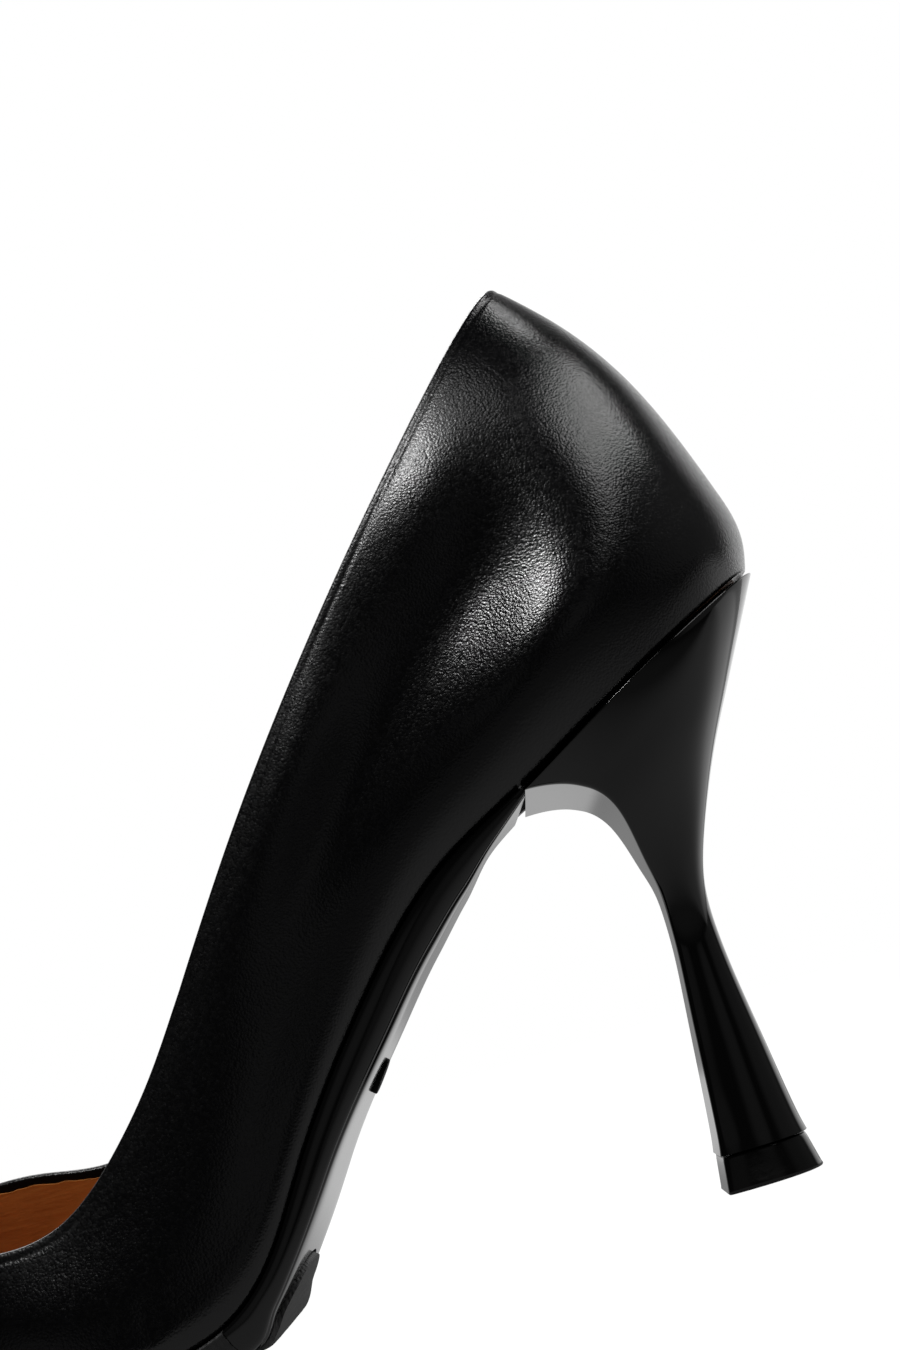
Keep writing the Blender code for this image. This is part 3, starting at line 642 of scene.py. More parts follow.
def polished_calf(colours):
    """Chrome-tanned calf, ironed and polished: near black, half gloss, with fine crinkled pores."""
    made, tree, shader = new_material("polished calf leather", {
        "Base Color": (*colours.calf, 1.0), "Roughness": 0.3})
    place = add_node(tree, "ShaderNodeTexCoord")
    # The grain's pebbles are about 0.4 mm across, and a slow noise bends their rows
    warp = add_node(
        tree, "ShaderNodeTexNoise", {"Scale": 1.0 / (2.2 * MM), "Detail": 2.0}, {"Vector": (place, "Object")})
    bent = add_node(
        tree, "ShaderNodeVectorMath", {1: (0.4 * MM, 0.4 * MM, 0.4 * MM)},
        {0: (warp, "Color"), 2: (place, "Object")}, operation="MULTIPLY_ADD")
    pebbles = add_node(
        tree, "ShaderNodeTexVoronoi", {"Scale": 1.0 / (0.42 * MM), "Randomness": 1.0},
        {"Vector": (bent, "Vector")}, feature="F1")
    pores = add_node(
        tree, "ShaderNodeTexNoise", {"Scale": 1.0 / (0.5 * MM), "Detail": 3.0, "Roughness": 0.7},
        {"Vector": (bent, "Vector")})
    grain = add_node(
        tree, "ShaderNodeMath", links={0: (pores, "Fac"), 1: (pebbles, "Distance")}, operation="SUBTRACT")
    bump = add_node(
        tree, "ShaderNodeBump", {"Strength": 1.0, "Distance": 0.03 * MM}, {"Height": (grain, "Value")})
    # Handling leaves the gloss a little uneven over patches of about 15 mm
    patches = add_node(
        tree, "ShaderNodeTexNoise", {"Scale": 1.0 / (15.0 * MM), "Detail": 2.0},
        {"Vector": (place, "Object")})
    gloss = add_node(
        tree, "ShaderNodeMapRange", {"To Min": 0.15, "To Max": 0.19}, {"Value": (patches, "Fac")})
    # Each pebble takes the polish differently, which makes the highlights' edges sparkle
    speckle = add_node(
        tree, "ShaderNodeMapRange", {"To Min": -0.05, "To Max": 0.09}, {"Value": (pebbles, "Color")})
    polish = add_node(
        tree, "ShaderNodeMath", links={0: (gloss, "Result"), 1: (speckle, "Result")}, operation="ADD")
    # The quarters' strained edges take less polish towards the topline, and the back takes it all
    parts = add_node(tree, "ShaderNodeSeparateXYZ", links={"Vector": (place, "UV")})
    off_toe = add_node(tree, "ShaderNodeMath", {1: 0.5}, {0: (parts, "X")}, operation="SUBTRACT")
    off_toe = add_node(tree, "ShaderNodeMath", links={0: (off_toe, 0)}, operation="ABSOLUTE")
    quarter = add_node(
        tree, "ShaderNodeMapRange", {"From Min": 0.385, "From Max": 0.42, "To Min": 1.0, "To Max": 0.0},
        {"Value": (off_toe, 0)})
    edge = add_node(
        tree, "ShaderNodeMapRange", {"From Min": 0.52, "From Max": 0.8, "To Max": 0.1},
        {"Value": (parts, "Y")})
    polish = add_node(
        tree, "ShaderNodeMath", links={0: (quarter, "Result"), 1: (edge, "Result"), 2: (polish, 0)},
        operation="MULTIPLY_ADD")
    tree.links.new(polish.outputs["Value"], shader.inputs["Roughness"])
    tree.links.new(bump.outputs["Normal"], shader.inputs["Normal"])
    return made


def glazed_cover(colours):
    """Thin leather drawn tight over the heel block and glazed: smooth, mirror dark, with a faint ripple."""
    made, tree, shader = new_material("glazed heel leather", {
        "Base Color": (*colours.cover, 1.0), "Roughness": 0.07})
    make_uneven(tree, shader, spacing=3.0 * MM, detail=2.0, strength=0.2, depth=0.02 * MM)
    return made


def sole_lacquer(colours):
    """Sole leather under black lacquer: level and glossy, with a slow wave left by the brush."""
    made, tree, shader = new_material("lacquered sole leather", {
        "Base Color": (*colours.lacquer, 1.0), "Roughness": 0.08})
    make_uneven(tree, shader, spacing=6.0 * MM, detail=2.0, strength=0.2, depth=0.03 * MM)
    return made


def tread_rubber(colours):
    """Moulded sole rubber: matte black with a fine crossed ribbing."""
    made, tree, shader = new_material("moulded tread rubber", {
        "Base Color": (*colours.tread, 1.0), "Roughness": 0.55})
    place = add_node(tree, "ShaderNodeTexCoord")
    waves = []
    for turn in (math.radians(45.0), math.radians(-45.0)):
        turned = add_node(
            tree, "ShaderNodeMapping", {"Rotation": (0.6, 0.0, turn)}, {"Vector": (place, "Object")})
        # Ribs stand 0.9 mm apart; a wave's period is 2 pi of its 20 fold coordinate
        waves.append(add_node(
            tree, "ShaderNodeTexWave", {"Scale": math.pi / 10.0 / (0.9 * MM)},
            {"Vector": (turned, "Vector")}))
    crossed = add_node(
        tree, "ShaderNodeMath", links={0: (waves[0], "Fac"), 1: (waves[1], "Fac")}, operation="MULTIPLY")
    bump = add_node(
        tree, "ShaderNodeBump", {"Strength": 0.6, "Distance": 0.1 * MM}, {"Height": (crossed, "Value")})
    tree.links.new(bump.outputs["Normal"], shader.inputs["Normal"])
    return made


def tip_rubber(colours):
    """Hard moulded rubber of the heel tip: glossy and a little uneven."""
    made, tree, shader = new_material("hard tip rubber", {
        "Base Color": (*colours.tip, 1.0), "Roughness": 0.1, "Specular IOR Level": 0.3})
    make_uneven(tree, shader, spacing=1.6 * MM, detail=3.0, strength=0.35, depth=0.04 * MM)
    return made


def lining_leather(colours):
    """Vegetable-tanned saddle lining: warm tan, soft sheen, drawn into fine slanting wrinkles."""
    made, tree, shader = new_material("saddle lining leather", {
        "Base Color": (*colours.lining, 1.0), "Roughness": 0.45})
    place = add_node(tree, "ShaderNodeTexCoord")
    patches = add_node(
        tree, "ShaderNodeTexNoise", {"Scale": 1.0 / (9.0 * MM), "Detail": 4.0}, {"Vector": (place, "Object")})
    tint = add_node(
        tree, "ShaderNodeMix", {"A": (*colours.lining_dark, 1.0), "B": (*colours.lining, 1.0)},
        {"Factor": (patches, "Fac")}, data_type="RGBA")
    slanted = add_node(
        tree, "ShaderNodeMapping", {"Rotation": (0.0, math.radians(35.0), 0.0), "Scale": (1.0, 1.0, 5.0)},
        {"Vector": (place, "Object")})
    wrinkles = add_node(
        tree, "ShaderNodeTexNoise", {"Scale": 1.0 / (6.0 * MM), "Detail": 3.0},
        {"Vector": (slanted, "Vector")})
    bump = add_node(
        tree, "ShaderNodeBump", {"Strength": 0.6, "Distance": 0.25 * MM}, {"Height": (wrinkles, "Fac")})
    tree.links.new(tint.outputs["Result"], shader.inputs["Base Color"])
    tree.links.new(bump.outputs["Normal"], shader.inputs["Normal"])
    return made


def crease_depth(outer, climb):
    """How deep the creases lie at rows of points on the upper, climb metres over its lower edge."""
    steps = np.linalg.norm(np.diff(outer[0], axis=0), axis=-1)
    round_shoe = np.concatenate(([0.0], np.cumsum(steps)))
    place = np.stack((round_shoe + np.zeros_like(climb), climb), axis=-1)
    total = np.zeros_like(climb)
    for crease in CREASES:
        start = np.array((crease.share, 0.0)) * round_shoe[-1] + np.array((0.0, crease.low)) * MM
        end = np.array((crease.end_share, 0.0)) * round_shoe[-1] + np.array((0.0, crease.high)) * MM
        run = end - start
        portion = (place - start) @ run / (run @ run)
        off = np.linalg.norm(place - start - np.clip(portion, 0.0, 1.0)[..., None] * run, axis=-1)
        total += crease.depth * MM * np.exp(-(off / (crease.half_width * MM)) ** 2)
    return total


class PUMP_OT_upper(bpy.types.Operator):
    """Adds the leather upper: outer face, rolled topline and the black band inside it"""

    bl_idname = "pump.upper"
    bl_label = "Upper"

    columns = 480
    wall_rows = 56
    fold_rows = 18
    roll_rows = 11
    band_rows = 6
    dull_rows = band_rows + 2
    # Power by which the wall's rows crowd towards its lower edge
    row_crowding = 1.6
    # How much fuller the folded edge is at the back, and its reach as a share of the way round
    back_fullness = 0.5
    back_reach = 0.05
    # The folded edge: its reach down the wall, and the dent under it
    fold_reach = 5.0 * MM
    dent_below = 1.65 * MM
    dent_half = 0.42 * MM
    # Shares of the way round from the back, where the heel ends and over which the sole's edge begins
    heel_share = 0.14
    heel_fade = 0.04
    # How high the lower edge rolls out, and how far the band runs down behind the lining
    hug_reach = 3.5 * MM
    band_lap = 1.5 * MM

    def execute(self, context):
        sizes = context.scene.pump_sizes
        last = Last(sizes)
        shares = np.arange(self.columns + 1) / self.columns
        reach = last.rib_length(shares)
        # The folded edge is fuller round the back, where the counter ends
        from_back = np.minimum(shares, 1.0 - shares)
        radius = sizes.fold / 2.0 * (1.0 + self.back_fullness * np.exp(-(from_back / self.back_reach) ** 2))
        low = np.linspace(0.0, 1.0, self.wall_rows)[:, None] ** self.row_crowding * (reach - self.fold_reach)
        near_top = np.linspace(1.0, 0.0, self.fold_rows + 1)[1:, None]
        high = reach - radius - near_top * (self.fold_reach - radius)
        climb = np.concatenate((low, high))
        outer, out, up = last.frame_at(shares, climb / reach)
        below = reach - climb
        dent = np.exp(-((below - self.dent_below) / self.dent_half) ** 2)
        along_sole = np.clip((from_back - self.heel_share) / self.heel_fade, 0.0, 1.0)
        roll_out = along_sole * np.clip(1.0 - climb / self.hug_reach, 0.0, 1.0) ** 2
        level = last.level_out(shares)
        # At its very end the lower edge turns in and leaves a dark groove over the sole and the heel
        edge_round = sizes.heel_groove + (sizes.sole_groove - sizes.heel_groove) * along_sole
        to_edge = np.clip(1.0 - climb / edge_round, 0.0, 1.0)
        turn_in = edge_round * (1.0 - np.sqrt(1.0 - to_edge**2))
        lean = sizes.top_ease * np.clip(1.0 - below / self.fold_reach, 0.0, 1.0) ** 2
        outer = outer - (sizes.fold_groove * dent + lean + crease_depth(outer, climb))[..., None] * out
        outer = outer + (sizes.hug * roll_out - turn_in)[..., None] * level
        turn = np.linspace(0.0, math.pi, self.roll_rows + 1)[1:, None, None]
        roll = outer[-1] + radius[:, None] * (out[-1] * (np.cos(turn) - 1.0) + up[-1] * np.sin(turn))
        drop = radius + np.linspace(0.0, 1.0, self.band_rows + 1)[1:, None] * (sizes.band + self.band_lap)
        inside, inside_out, _ = last.frame_at(shares, 1.0 - drop / reach)
        ending = np.linspace(1.0, 0.0, self.band_rows + 1)[1:, None]
        depth = sizes.fold + (2.0 * radius - sizes.fold) * ending**2 + lean[-1] * ending
        band = inside - depth[..., None] * inside_out
        # Past its end the lower edge is tucked under: up into the dark over the heel, flat over the sole
        tuck = MM * np.array(TUCK)[:, :, None]
        tuck_drop = tuck[:, 1] + (tuck[:, 2] - tuck[:, 1]) * along_sole
        rise_at = feather_profile(last)
        under = outer[0] - tuck[:, :1] * level
        under[..., 2] += rise_at(under[..., 0])[0] - rise_at(outer[:1, :, 0])[0] - tuck_drop
        points = np.concatenate((under, outer, roll, band))
        piece = lay_grid("upper_leather", to_frame(last, points)[:, ::-1])
        sheet = len(piece.data.polygons)
        thicken(piece, sizes.skin)
        dress(piece, polished_calf(context.scene.pump_colours), "upper")
        dull = plain_finish("black calf turned in", context.scene.pump_colours.calf, 0.6, 0.1)
        piece.data.materials.append(dull)
        # Inside, past the roll, the turned leather shows its dull side
        for face in piece.data.polygons[sheet - self.dull_rows * self.columns:sheet]:
            face.material_index = 1
        return {"FINISHED"}


class PUMP_OT_lining(bpy.types.Operator):
    """Adds the tan lining with its trimmed edge below the topline"""

    bl_idname = "pump.lining"
    bl_label = "Lining"

    columns = 480
    rows = 46
    foot = 0.4 * MM
    # How the trimmed edge wavers: waves round the shoe, part of the height, and lead
    trim_waves = ((61, 0.5, 0.3), (97, 0.3, 1.9), (143, 0.2, 4.1))

    def execute(self, context):
        sizes = context.scene.pump_sizes
        last = Last(sizes)
        shares = np.arange(self.columns + 1) / self.columns
        reach = last.rib_length(shares)
        turns = 2.0 * math.pi * shares
        waver = sum(part * np.sin(count * turns + lead) for count, part, lead in self.trim_waves)
        edge = 1.0 - (sizes.band + sizes.trim_wave * waver) / reach
        foot = self.foot / reach
        up = foot + np.linspace(0.0, 1.0, self.rows)[:, None] * (edge - foot)
        face, out, _ = last.frame_at(shares, up)
        points = to_frame(last, face - sizes.wall * out)
        piece = lay_grid("lining", points)
        thicken(piece, sizes.lining)
        dress(piece, lining_leather(context.scene.pump_colours), "upper")
        return {"FINISHED"}


class PUMP_OT_insole(bpy.types.Operator):
    """Adds the leather-covered insole inside the upper"""

    bl_idname = "pump.insole"
    bl_label = "Insole"

    stations = 120
    columns = 25
    edge_share = 0.93
    # Share of a half turn of stations that is left off at each end
    end_share = 0.02
    top_round = 0.9 * MM
    bottom_round = 0.2 * MM
    # The least upward part of the normal of a face that is covered; faces below it take the black board,
    # which also paints shade into the joint under the upper
    cover_end = 0.2

    def execute(self, context):
        sizes = context.scene.pump_sizes
        last = Last(sizes)
        outline = Outline(last, -(sizes.wall + sizes.gap))
        turn = np.linspace(self.end_share, 1.0 - self.end_share, self.stations)[:, None] * math.pi
        fore = outline.start + (outline.end - outline.start) * (1.0 - np.cos(turn)) / 2.0
        share = np.concatenate(([-1.0], np.linspace(-self.edge_share, self.edge_share, self.columns), [1.0]))
        fore, share = np.broadcast_arrays(fore, share[None])
        rise, down = feather_profile(last)(fore)
        bottom = np.stack((fore, outline.side(fore, share), rise), axis=-1)
        top = bottom - sizes.insole * down
        loops = slab_loops(top, bottom, self.top_round, self.bottom_round)
        piece = lay_solid("insole_cover", to_frame(last, loops))
        dress(piece, lining_leather(context.scene.pump_colours), "insole")
        # The board's black is partly its own colour and partly painted shade for the joint under the upper
        # and over the heel
        board_and_shade = plain_finish("black insole board and painted joint shade", context.scene.pump_colours.tread, 0.8, 0.1)
        piece.data.materials.append(board_and_shade)
        # The cover ends where the insole's edge turns down. The black below it, on the underside and the
        # edge, is partly the board's own colour and partly painted shade that keeps the joint under the upper
        # dark
        for face in piece.data.polygons:
            face.material_index = int(face.normal.z < self.cover_end)
        return {"FINISHED"}


class PUMP_OT_outsole(bpy.types.Operator):
    """Adds the lacquered outsole under the waist"""

    bl_idname = "pump.outsole"
    bl_label = "Outsole"

    station_count = 120

    def execute(self, context):
        sizes = context.scene.pump_sizes
        last = Last(sizes)
        run = np.linspace(0.0, 1.0, self.station_count)[:, None]

        def stations(share):
            start = along(OUTSOLE_START, sizes) + sizes.tail_slant * ((share + 1.0) / 2.0) ** TAIL_BOW
            return start + (tread_rear(share, sizes) - start) * run

        loops = sole_loops(last, stations, treaded=False)
        piece = lay_solid("outsole_lacquered", to_frame(last, loops))
        dress(piece, sole_lacquer(context.scene.pump_colours), "outsole")
        return {"FINISHED"}


class PUMP_OT_tread(bpy.types.Operator):
    """Adds the rubber tread under the forefoot"""

    bl_idname = "pump.tread"
    bl_label = "Tread"

    station_count = 170
    # Share of a half turn of stations at which the tread ends at the toe
    toe_share = 0.985

    def execute(self, context):
        sizes = context.scene.pump_sizes
        last = Last(sizes)
        turn = np.linspace(0.0, self.toe_share, self.station_count)[:, None] * math.pi
        end = Outline(last, sizes.rand).end

        def stations(share):
            start = tread_rear(share, sizes) + sizes.gap
            return start + (end - start) * (1.0 - np.cos(turn)) / 2.0

        loops = sole_loops(last, stations, treaded=True)
        piece = lay_solid("tread_rubber", to_frame(last, loops))
        dress(piece, tread_rubber(context.scene.pump_colours), "tread")
        return {"FINISHED"}


def section_curve(values, shares, sides, sizes):
    """The side and back of one D of the heel, between its front corners."""
    section = HeelSection(*values)
    back = np.array((along(section.back_fore, sizes), 0.0, section.back_rise * sizes.heel_height / 100.0))
    front = np.array((along(section.front_fore, sizes), 0.0, section.front_rise * sizes.heel_height / 100.0))
    corner = section.front_half / section.side_half
    fuller = 1.0 - (1.0 - np.clip(shares / SIDE_SHARE, 0.0, 1.0)) ** 2
    behind = np.clip((shares - SIDE_SHARE) / (1.0 - SIDE_SHARE), 0.0, 1.0)
    round_back = (1.0 - behind ** section.squareness) ** (1.0 / section.squareness)
    half = across(section.side_half, sizes) * (corner + (1.0 - corner) * fuller) * round_back
    points = front + shares[:, None] * (back - front)
    points[:, 1] = sides * half
    return points


def resample(points, shares):
    """Points at shares of the way along a run of points."""
    reach = np.concatenate(([0.0], np.cumsum(np.linalg.norm(np.diff(points, axis=0), axis=1))))
    place = shares * reach[-1]
    return np.stack([np.interp(place, reach, points[:, k]) for k in range(3)], axis=1)


def rounded_loop(curve, corner, back_count=150, corner_count=6, front_count=36):
    """A closed loop from a D's curve: its front corners rounded, then straight across the front.

    A fine line runs down the front near its inner edge, where the cover's ends meet.
    """
    reach = np.sum(np.linalg.norm(np.diff(curve, axis=0), axis=1))
    width = np.linalg.norm(curve[0] - curve[-1])
    cut = min(corner, CORNER_SHARE * width)
    round_back = resample(curve, np.linspace(cut / reach, 1.0 - cut / reach, back_count))
    across_front = unit(curve[0] - curve[-1])
    enter, leave = curve[-1] + across_front * cut, curve[0] - across_front * cut
    bend = np.linspace(0.0, 1.0, corner_count + 2)[1:-1, None]
    first = (1 - bend) ** 2 * round_back[-1] + 2 * bend * (1 - bend) * curve[-1] + bend**2 * enter
    second = (1 - bend) ** 2 * leave + 2 * bend * (1 - bend) * curve[0] + bend**2 * round_back[0]
    spread = np.linspace(-1.0, 1.0, front_count)
    spread = (0.5 + 0.5 * np.sign(spread) * (1.0 - (1.0 - np.abs(spread)) ** FRONT_CROWDING))[:, None]
    front = enter + spread * (leave - enter)
    from_inner = np.min(np.linalg.norm(front[:, None] - curve[[np.argmax(curve[:, 1])]], axis=-1), axis=1)
    back_way = unit(curve[len(curve) // 2] - (curve[0] + curve[-1]) / 2.0)
    front = front + SEAM_DEPTH * np.exp(-((from_inner - SEAM_INSET) / SEAM_HALF) ** 2)[:, None] * back_way
    return np.concatenate((round_back, first, front, second))


def drawn_together(loop):
    """A loop drawn together to its middle, to close an end."""
    return np.zeros_like(loop) + loop.mean(axis=0)


def inset_loop(points, margin):
    """A loop drawn in towards its middle by a margin."""
    middle = points.mean(axis=0)
    reach = np.linalg.norm(points - middle, axis=1)[:, None]
    return middle + (points - middle) * (1.0 - margin / reach)


def rounded_rim(loop, radius, steps, inward):
    """Loops that round a rim off from its flat end to its side, which lies inward of the end."""
    return [
        inset_loop(loop, radius * (1.0 - math.sin(angle))) + radius * (1.0 - math.cos(angle)) * inward
        for angle in arc(steps)]


class HeelForm:
    """The heel's loops from its rim under the feather line to the lip above its tip."""

    rim_steps = 24
    section_steps = 9
    # Loops over which the rim's own form fades out, and the power by which the joint widens to the corners
    rim_fade = 14.0
    joint_power = 3

    def __init__(self, last):
        self.last = last
        sizes = last.sizes
        reach = HEEL_RIBS / last.count
        shares = np.linspace(-reach, reach, 2 * HEEL_RIBS * self.rim_steps + 1)
        self.rim = last.ring(shares)[0] + sizes.rand * last.level_out(shares)
        self.rim[:, 2] -= sizes.gap + sizes.front_joint * np.abs(shares / reach) ** self.joint_power
        lip_fore = (self.rim[0, 0] + self.rim[-1, 0]) / 2.0
        self.shares = np.clip((lip_fore - self.rim[:, 0]) / (lip_fore - self.rim[:, 0].min()), 0.0, 1.0)
        self.sides = np.sign(self.rim[:, 1])

    def section(self, values):
        """One rounded loop of the heel."""
        sizes = self.last.sizes
        curve = section_curve(values, self.shares, self.sides, sizes)
        return rounded_loop(curve, sizes.heel_corner)

    def loops(self):
        """Loops down the heel, the rim first."""
        sizes = self.last.sizes
        knots = np.arange(len(HEEL_SECTIONS))
        places = np.linspace(0.0, knots[-1], knots[-1] * self.section_steps + 1)
        table = spline(knots, HEEL_SECTIONS)(places)
        sections = np.array([self.section(values) for values in table])
        rim = rounded_loop(self.rim, sizes.heel_corner)
        fade = np.clip(1.0 - np.arange(len(places)) / self.rim_fade, 0.0, 1.0)
        fade = fade**2 * (3.0 - 2.0 * fade)
        return sections + fade[:, None, None] * (rim - sections[0])


class PUMP_OT_heel(bpy.types.Operator):
    """Adds the covered heel"""

    bl_idname = "pump.heel"
    bl_label = "Heel"

    rim_round = 0.35 * MM
    rim_steps = 5
    seat_shares = (0.0, 0.3, 0.6, 0.8, 0.92)
    lip_rows = 9
    lip_power = 4
    # Under the lip, towards the tip: inset and drop
    lip_under = ((0.12 * MM, 0.08 * MM), (0.5 * MM, 0.1 * MM))

    def execute(self, context):
        sizes = context.scene.pump_sizes
        last = Last(sizes)
        loops = HeelForm(last).loops()
        rim = loops[0]
        top = rounded_rim(rim, self.rim_round, self.rim_steps, unit(loops[1] - loops[0]))
        middle = rim.mean(axis=0)
        # The seat follows the underside of the upper, so that no light falls through the joint
        seat = np.array([middle + part * (rim - middle) for part in self.seat_shares])
        seat[..., 2] = feather_profile(last)(seat[..., 0])[0] - sizes.gap
        lip = loops[-self.lip_rows:].copy()
        for k in range(self.lip_rows):
            flare = sizes.heel_lip * (k / (self.lip_rows - 1.0)) ** self.lip_power
            lip[k] = inset_loop(lip[k], -flare)
        foot = lip[-1]
        under = [inset_loop(foot, inset) - np.array((0.0, 0.0, drop)) for inset, drop in self.lip_under]
        under.append(drawn_together(under[-1]))
        body = loops[1:-self.lip_rows]
        points = np.concatenate((seat, np.array(top), body, lip, np.array(under)))
        piece = lay_solid("heel_covered", to_frame(last, points))
        dress(piece, glazed_cover(context.scene.pump_colours), "heel")
        return {"FINISHED"}


class PUMP_OT_heel_tip(bpy.types.Operator):
    """Adds the moulded tip that the heel stands on"""

    bl_idname = "pump.heel_tip"
    bl_label = "Heel tip"

    edge_round = 0.3 * MM
    edge_steps = 4
    side_rows = 8

    def execute(self, context):
        sizes = context.scene.pump_sizes
        last = Last(sizes)
        form = HeelForm(last)
        foot = form.section(TIP_FOOT)
        head = inset_loop(form.loops()[-1], sizes.tip_inset)
        head[:, 2] = sizes.tip_height
        upward = np.array((0.0, 0.0, 1.0))
        above = rounded_rim(head, self.edge_round, self.edge_steps, -upward)
        side = [head + (foot - head) * share for share in np.linspace(0.0, 1.0, self.side_rows + 2)[1:-1]]
        below = rounded_rim(foot, self.edge_round, self.edge_steps, upward)[::-1]
        loops = np.array([drawn_together(head), *above, *side, *below, drawn_together(foot)])
        piece = lay_solid("heel_tip_moulded", to_frame(last, loops))
        dress(piece, tip_rubber(context.scene.pump_colours), "heel_tip")
        return {"FINISHED"}


class PUMP_OT_stud(bpy.types.Operator):
    """Adds the plain stud under the waist"""

    bl_idname = "pump.stud"
    bl_label = "Stud"

    sides = 64
    dome = 0.25 * MM
    dome_steps = 5

    def execute(self, context):
        sizes = context.scene.pump_sizes
        last = Last(sizes)
        fore = np.full((1, 1), along(STUD_FORE, sizes))
        bottom = sole_bottom(last, fore, np.zeros((1, 1)), treaded=False)[0, 0]
        down = feather_profile(last)(fore)[1][0, 0]
        centre = bottom + (sizes.stud_thickness / 2.0 - self.dome) * down
        centre[1] = 0.0
        place = to_frame(last, centre)
        square = Vector((-down[0], down[1], down[2])).to_track_quat("Z", "Y").to_euler()
        bpy.ops.object.select_all(action="DESELECT")
        bpy.ops.mesh.primitive_cylinder_add(
            vertices=self.sides, radius=sizes.stud_diameter / 2.0, depth=sizes.stud_thickness,
            location=place, rotation=square)
        piece = bpy.context.object
        piece.name = "sole_stud_plain"
        piece.data.name = piece.name
        bpy.ops.object.transform_apply(location=True, rotation=True, scale=True)
        bevel = piece.modifiers.new("rim", "BEVEL")
        bevel.width = self.dome
        bevel.segments = self.dome_steps
        bpy.ops.object.modifier_apply(modifier=bevel.name)
        matte = plain_finish("matte black nylon", context.scene.pump_colours.stud, 0.6, 0.08)
        dress(piece, matte, "sole_stud")
        return {"FINISHED"}


def direction(azimuth, elevation):
    """A direction round the shoe: degrees from its outer side towards the heel, and up from the floor."""
    turn, lift = math.radians(azimuth), math.radians(elevation)
    return Vector((math.sin(turn) * math.cos(lift), -math.cos(turn) * math.cos(lift), math.sin(lift)))


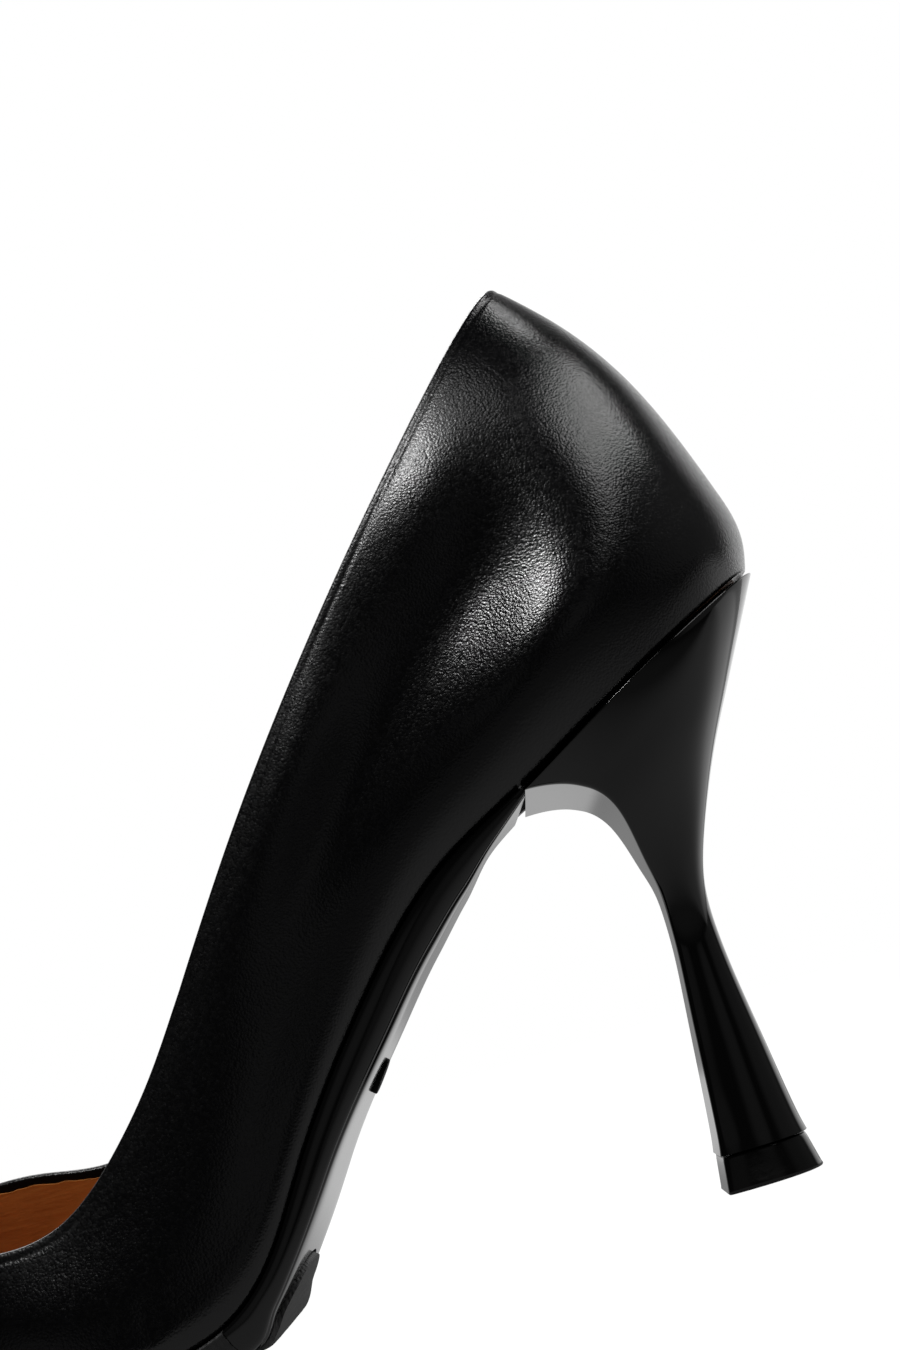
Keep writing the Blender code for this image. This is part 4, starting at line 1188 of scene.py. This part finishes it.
class PUMP_OT_stage(bpy.types.Operator):
    """Adds the photograph's camera, the floor, the white surroundings and the softboxes"""

    bl_idname = "pump.stage"
    bl_label = "Studio"

    floor_radius = 4.0
    floor_sides = 128
    floor_drop = 0.1 * MM
    # The part of the floor's white that is paint, because the rest is glow
    floor_paint = 0.1
    near_clip = 10.0 * MM
    # name, azimuth from the outer side towards the heel, elevation, distance, width, height, power
    softboxes = (
        ("front_softbox", -9.0, 54.5, 0.484, 0.1, 0.045, 0.9),
        ("upper_softbox", 12.0, 59.5, 0.557, 0.14, 0.06, 0.11),
        ("side_softbox", 70.0, 45.0, 0.9, 0.74, 0.22, 2.0),
        ("peak_softbox", 108.0, 61.0, 0.9, 0.22, 0.14, 0.45),
        ("rear_softbox", 195.0, 52.0, 1.0, 0.7, 0.3, 5.0),
    )
    # Pale places of the room that the gloss shows: azimuth, elevation, reach of the full tone and of the fade
    # in degrees, and brightness
    room = (
        (180.0, 5.0, 40.0, 65.0, 0.3),
        (150.0, 8.0, 18.0, 30.0, 0.7),
        (85.0, 10.0, 18.0, 40.0, 0.1),
        (20.0, 10.0, 3.0, 18.0, 0.1),
        (-27.0, 5.0, 6.0, 16.0, 0.08),
    )
    room_shade = 0.018
    # The floor's glow in the gloss, by metres away from the camera past the frame's origin: where each ramp
    # starts and ends, and the strengths there
    lit_glow = (0.0, 0.2, 0.26, 0.64)
    far_glow = (0.2, 1.2, 1.0, 0.34)
    near_glow = (-0.16, -0.03, 0.05, 1.0)
    # The floor's glow to the eye
    seen_glow = 1.1

    def execute(self, context):
        self.add_camera(context)
        self.add_floor(context)
        self.add_world(context)
        for softbox in self.softboxes:
            self.add_softbox(*softbox)
        context.scene.view_settings.view_transform = "Standard"
        return {"FINISHED"}

    def add_camera(self, context):
        """The photograph's view: the crossways axis points to its vanishing point, with the photo's roll."""
        crossways = unit(np.array((
            (CROSSWAYS_VANISH[0] - PHOTO_CENTRE[0]) / FOCAL_PIXELS,
            (CROSSWAYS_VANISH[1] - PHOTO_CENTRE[1]) / FOCAL_PIXELS, 1.0)))
        level = np.array((math.cos(CAMERA_ROLL), -math.sin(CAMERA_ROLL), 0.0))
        heelwards = unit(level - crossways * crossways.dot(level))
        upwards = np.cross(heelwards, crossways)
        turned = np.stack((heelwards, crossways, upwards), axis=1) * np.array(((1.0,), (-1.0,), (-1.0,)))
        bpy.ops.object.camera_add(location=EYE)
        camera = bpy.context.object
        camera.name = "photo_camera"
        camera.matrix_world = Matrix.Translation(EYE) @ Matrix(turned.tolist()).transposed().to_4x4()
        camera.data.sensor_width = SENSOR
        camera.data.lens = FOCAL_PIXELS * SENSOR / PHOTO_HEIGHT
        camera.data.clip_start = self.near_clip
        context.scene.camera = camera

    def add_floor(self, context):
        """A white floor that glows as a light table does, dimmer in the shoe's gloss on the camera's side."""
        bpy.ops.object.select_all(action="DESELECT")
        bpy.ops.mesh.primitive_circle_add(
            vertices=self.floor_sides, radius=self.floor_radius, fill_type="NGON",
            location=(0.0, 0.0, -self.floor_drop))
        floor = bpy.context.object
        floor.name = "floor"
        white = context.scene.pump_colours.floor
        made, tree, shader = new_material("white studio floor", {
            "Base Color": (*[self.floor_paint * part for part in white], 1.0), "Roughness": 0.7,
            "Specular IOR Level": 0.0, "Emission Color": (*white, 1.0)})
        place = add_node(tree, "ShaderNodeTexCoord")
        parts = add_node(tree, "ShaderNodeSeparateXYZ", links={"Vector": (place, "Object")})
        lit, far, near = [
            add_node(
                tree, "ShaderNodeMapRange", dict(zip(("From Min", "From Max", "To Min", "To Max"), ramp)),
                {"Value": (parts, "Y")}, interpolation_type="SMOOTHSTEP")
            for ramp in (self.lit_glow, self.far_glow, self.near_glow)]
        glow = add_node(
            tree, "ShaderNodeMath", links={0: (lit, "Result"), 1: (far, "Result")}, operation="MINIMUM")
        glow = add_node(
            tree, "ShaderNodeMath", links={0: (glow, 0), 1: (near, "Result")}, operation="MULTIPLY")
        path = add_node(tree, "ShaderNodeLightPath")
        seen = add_node(
            tree, "ShaderNodeMix", {"B": self.seen_glow},
            {"Factor": (path, "Is Camera Ray"), "A": (glow, 0)})
        tree.links.new(seen.outputs["Result"], shader.inputs["Emission Strength"])
        floor.data.materials.append(made)

    def add_world(self, context):
        """White behind the shoe for the eye, and for its gloss a dim room with pale places."""
        world = bpy.data.worlds.new("white studio")
        world.use_nodes = True
        tree = world.node_tree
        tree.nodes.clear()
        place = add_node(tree, "ShaderNodeTexCoord")
        total = add_node(tree, "ShaderNodeValue")
        total.outputs[0].default_value = self.room_shade
        for azimuth, elevation, full, fade, brightness in self.room:
            nearness = add_node(
                tree, "ShaderNodeVectorMath", {1: direction(azimuth, elevation)}, {0: (place, "Generated")},
                operation="DOT_PRODUCT")
            patch = add_node(
                tree, "ShaderNodeMapRange", {
                    "From Min": math.cos(math.radians(fade)), "From Max": math.cos(math.radians(full)),
                    "To Max": brightness},
                {"Value": (nearness, "Value")}, interpolation_type="SMOOTHSTEP")
            total = add_node(
                tree, "ShaderNodeMath", links={0: (total, 0), 1: (patch, "Result")}, operation="ADD")
        room = add_node(tree, "ShaderNodeBackground", {"Color": WHITE}, {"Strength": (total, 0)})
        white = add_node(tree, "ShaderNodeBackground", {"Color": WHITE})
        path = add_node(tree, "ShaderNodeLightPath")
        seen = add_node(
            tree, "ShaderNodeMixShader", links={"Fac": (path, "Is Camera Ray"), 1: (room, 0), 2: (white, 0)})
        add_node(tree, "ShaderNodeOutputWorld", links={"Surface": (seen, 0)})
        context.scene.world = world

    def add_softbox(self, name, azimuth, elevation, distance, width, height, power):
        """A soft rectangular light round the shoe, facing it."""
        towards = direction(azimuth, elevation)
        aim = (CAD_BOX[0] + CAD_BOX[1]) / 2.0
        bpy.ops.object.light_add(type="AREA", location=aim + towards * distance)
        lamp = bpy.context.object
        lamp.name = name
        lamp.rotation_euler = (-towards).to_track_quat("-Z", "Y").to_euler()
        lamp.data.shape = "RECTANGLE"
        lamp.data.size = width
        lamp.data.size_y = height
        lamp.data.energy = power
        lamp.visible_camera = False


class PUMP_PT_panel(bpy.types.Panel):
    """Lists the shoe's pieces, sizes and colours"""

    bl_idname = "PUMP_PT_panel"
    bl_label = "Stiletto pump"
    bl_space_type = "VIEW_3D"
    bl_region_type = "UI"
    bl_category = "Pump"

    def draw(self, context):
        for operator in OPERATORS:
            self.layout.operator(operator.bl_idname)
        for group in (context.scene.pump_sizes, context.scene.pump_colours):
            box = self.layout.box()
            for name in group.__annotations__:
                box.prop(group, name)


OPERATORS = (
    PUMP_OT_stage, PUMP_OT_upper, PUMP_OT_lining, PUMP_OT_insole, PUMP_OT_outsole, PUMP_OT_tread,
    PUMP_OT_heel, PUMP_OT_heel_tip, PUMP_OT_stud)
CLASSES = (PumpSizes, PumpColours) + OPERATORS + (PUMP_PT_panel,)


def register():
    for each in CLASSES:
        bpy.utils.register_class(each)
    bpy.types.Scene.pump_sizes = PointerProperty(type=PumpSizes)
    bpy.types.Scene.pump_colours = PointerProperty(type=PumpColours)


def unregister():
    del bpy.types.Scene.pump_colours
    del bpy.types.Scene.pump_sizes
    for each in reversed(CLASSES):
        bpy.utils.unregister_class(each)


def main():
    register()
    bpy.ops.pump.stage()
    bpy.ops.pump.upper()
    bpy.ops.pump.lining()
    bpy.ops.pump.insole()
    bpy.ops.pump.outsole()
    bpy.ops.pump.tread()
    bpy.ops.pump.heel()
    bpy.ops.pump.heel_tip()
    bpy.ops.pump.stud()


if __name__ == "__main__":
    main()
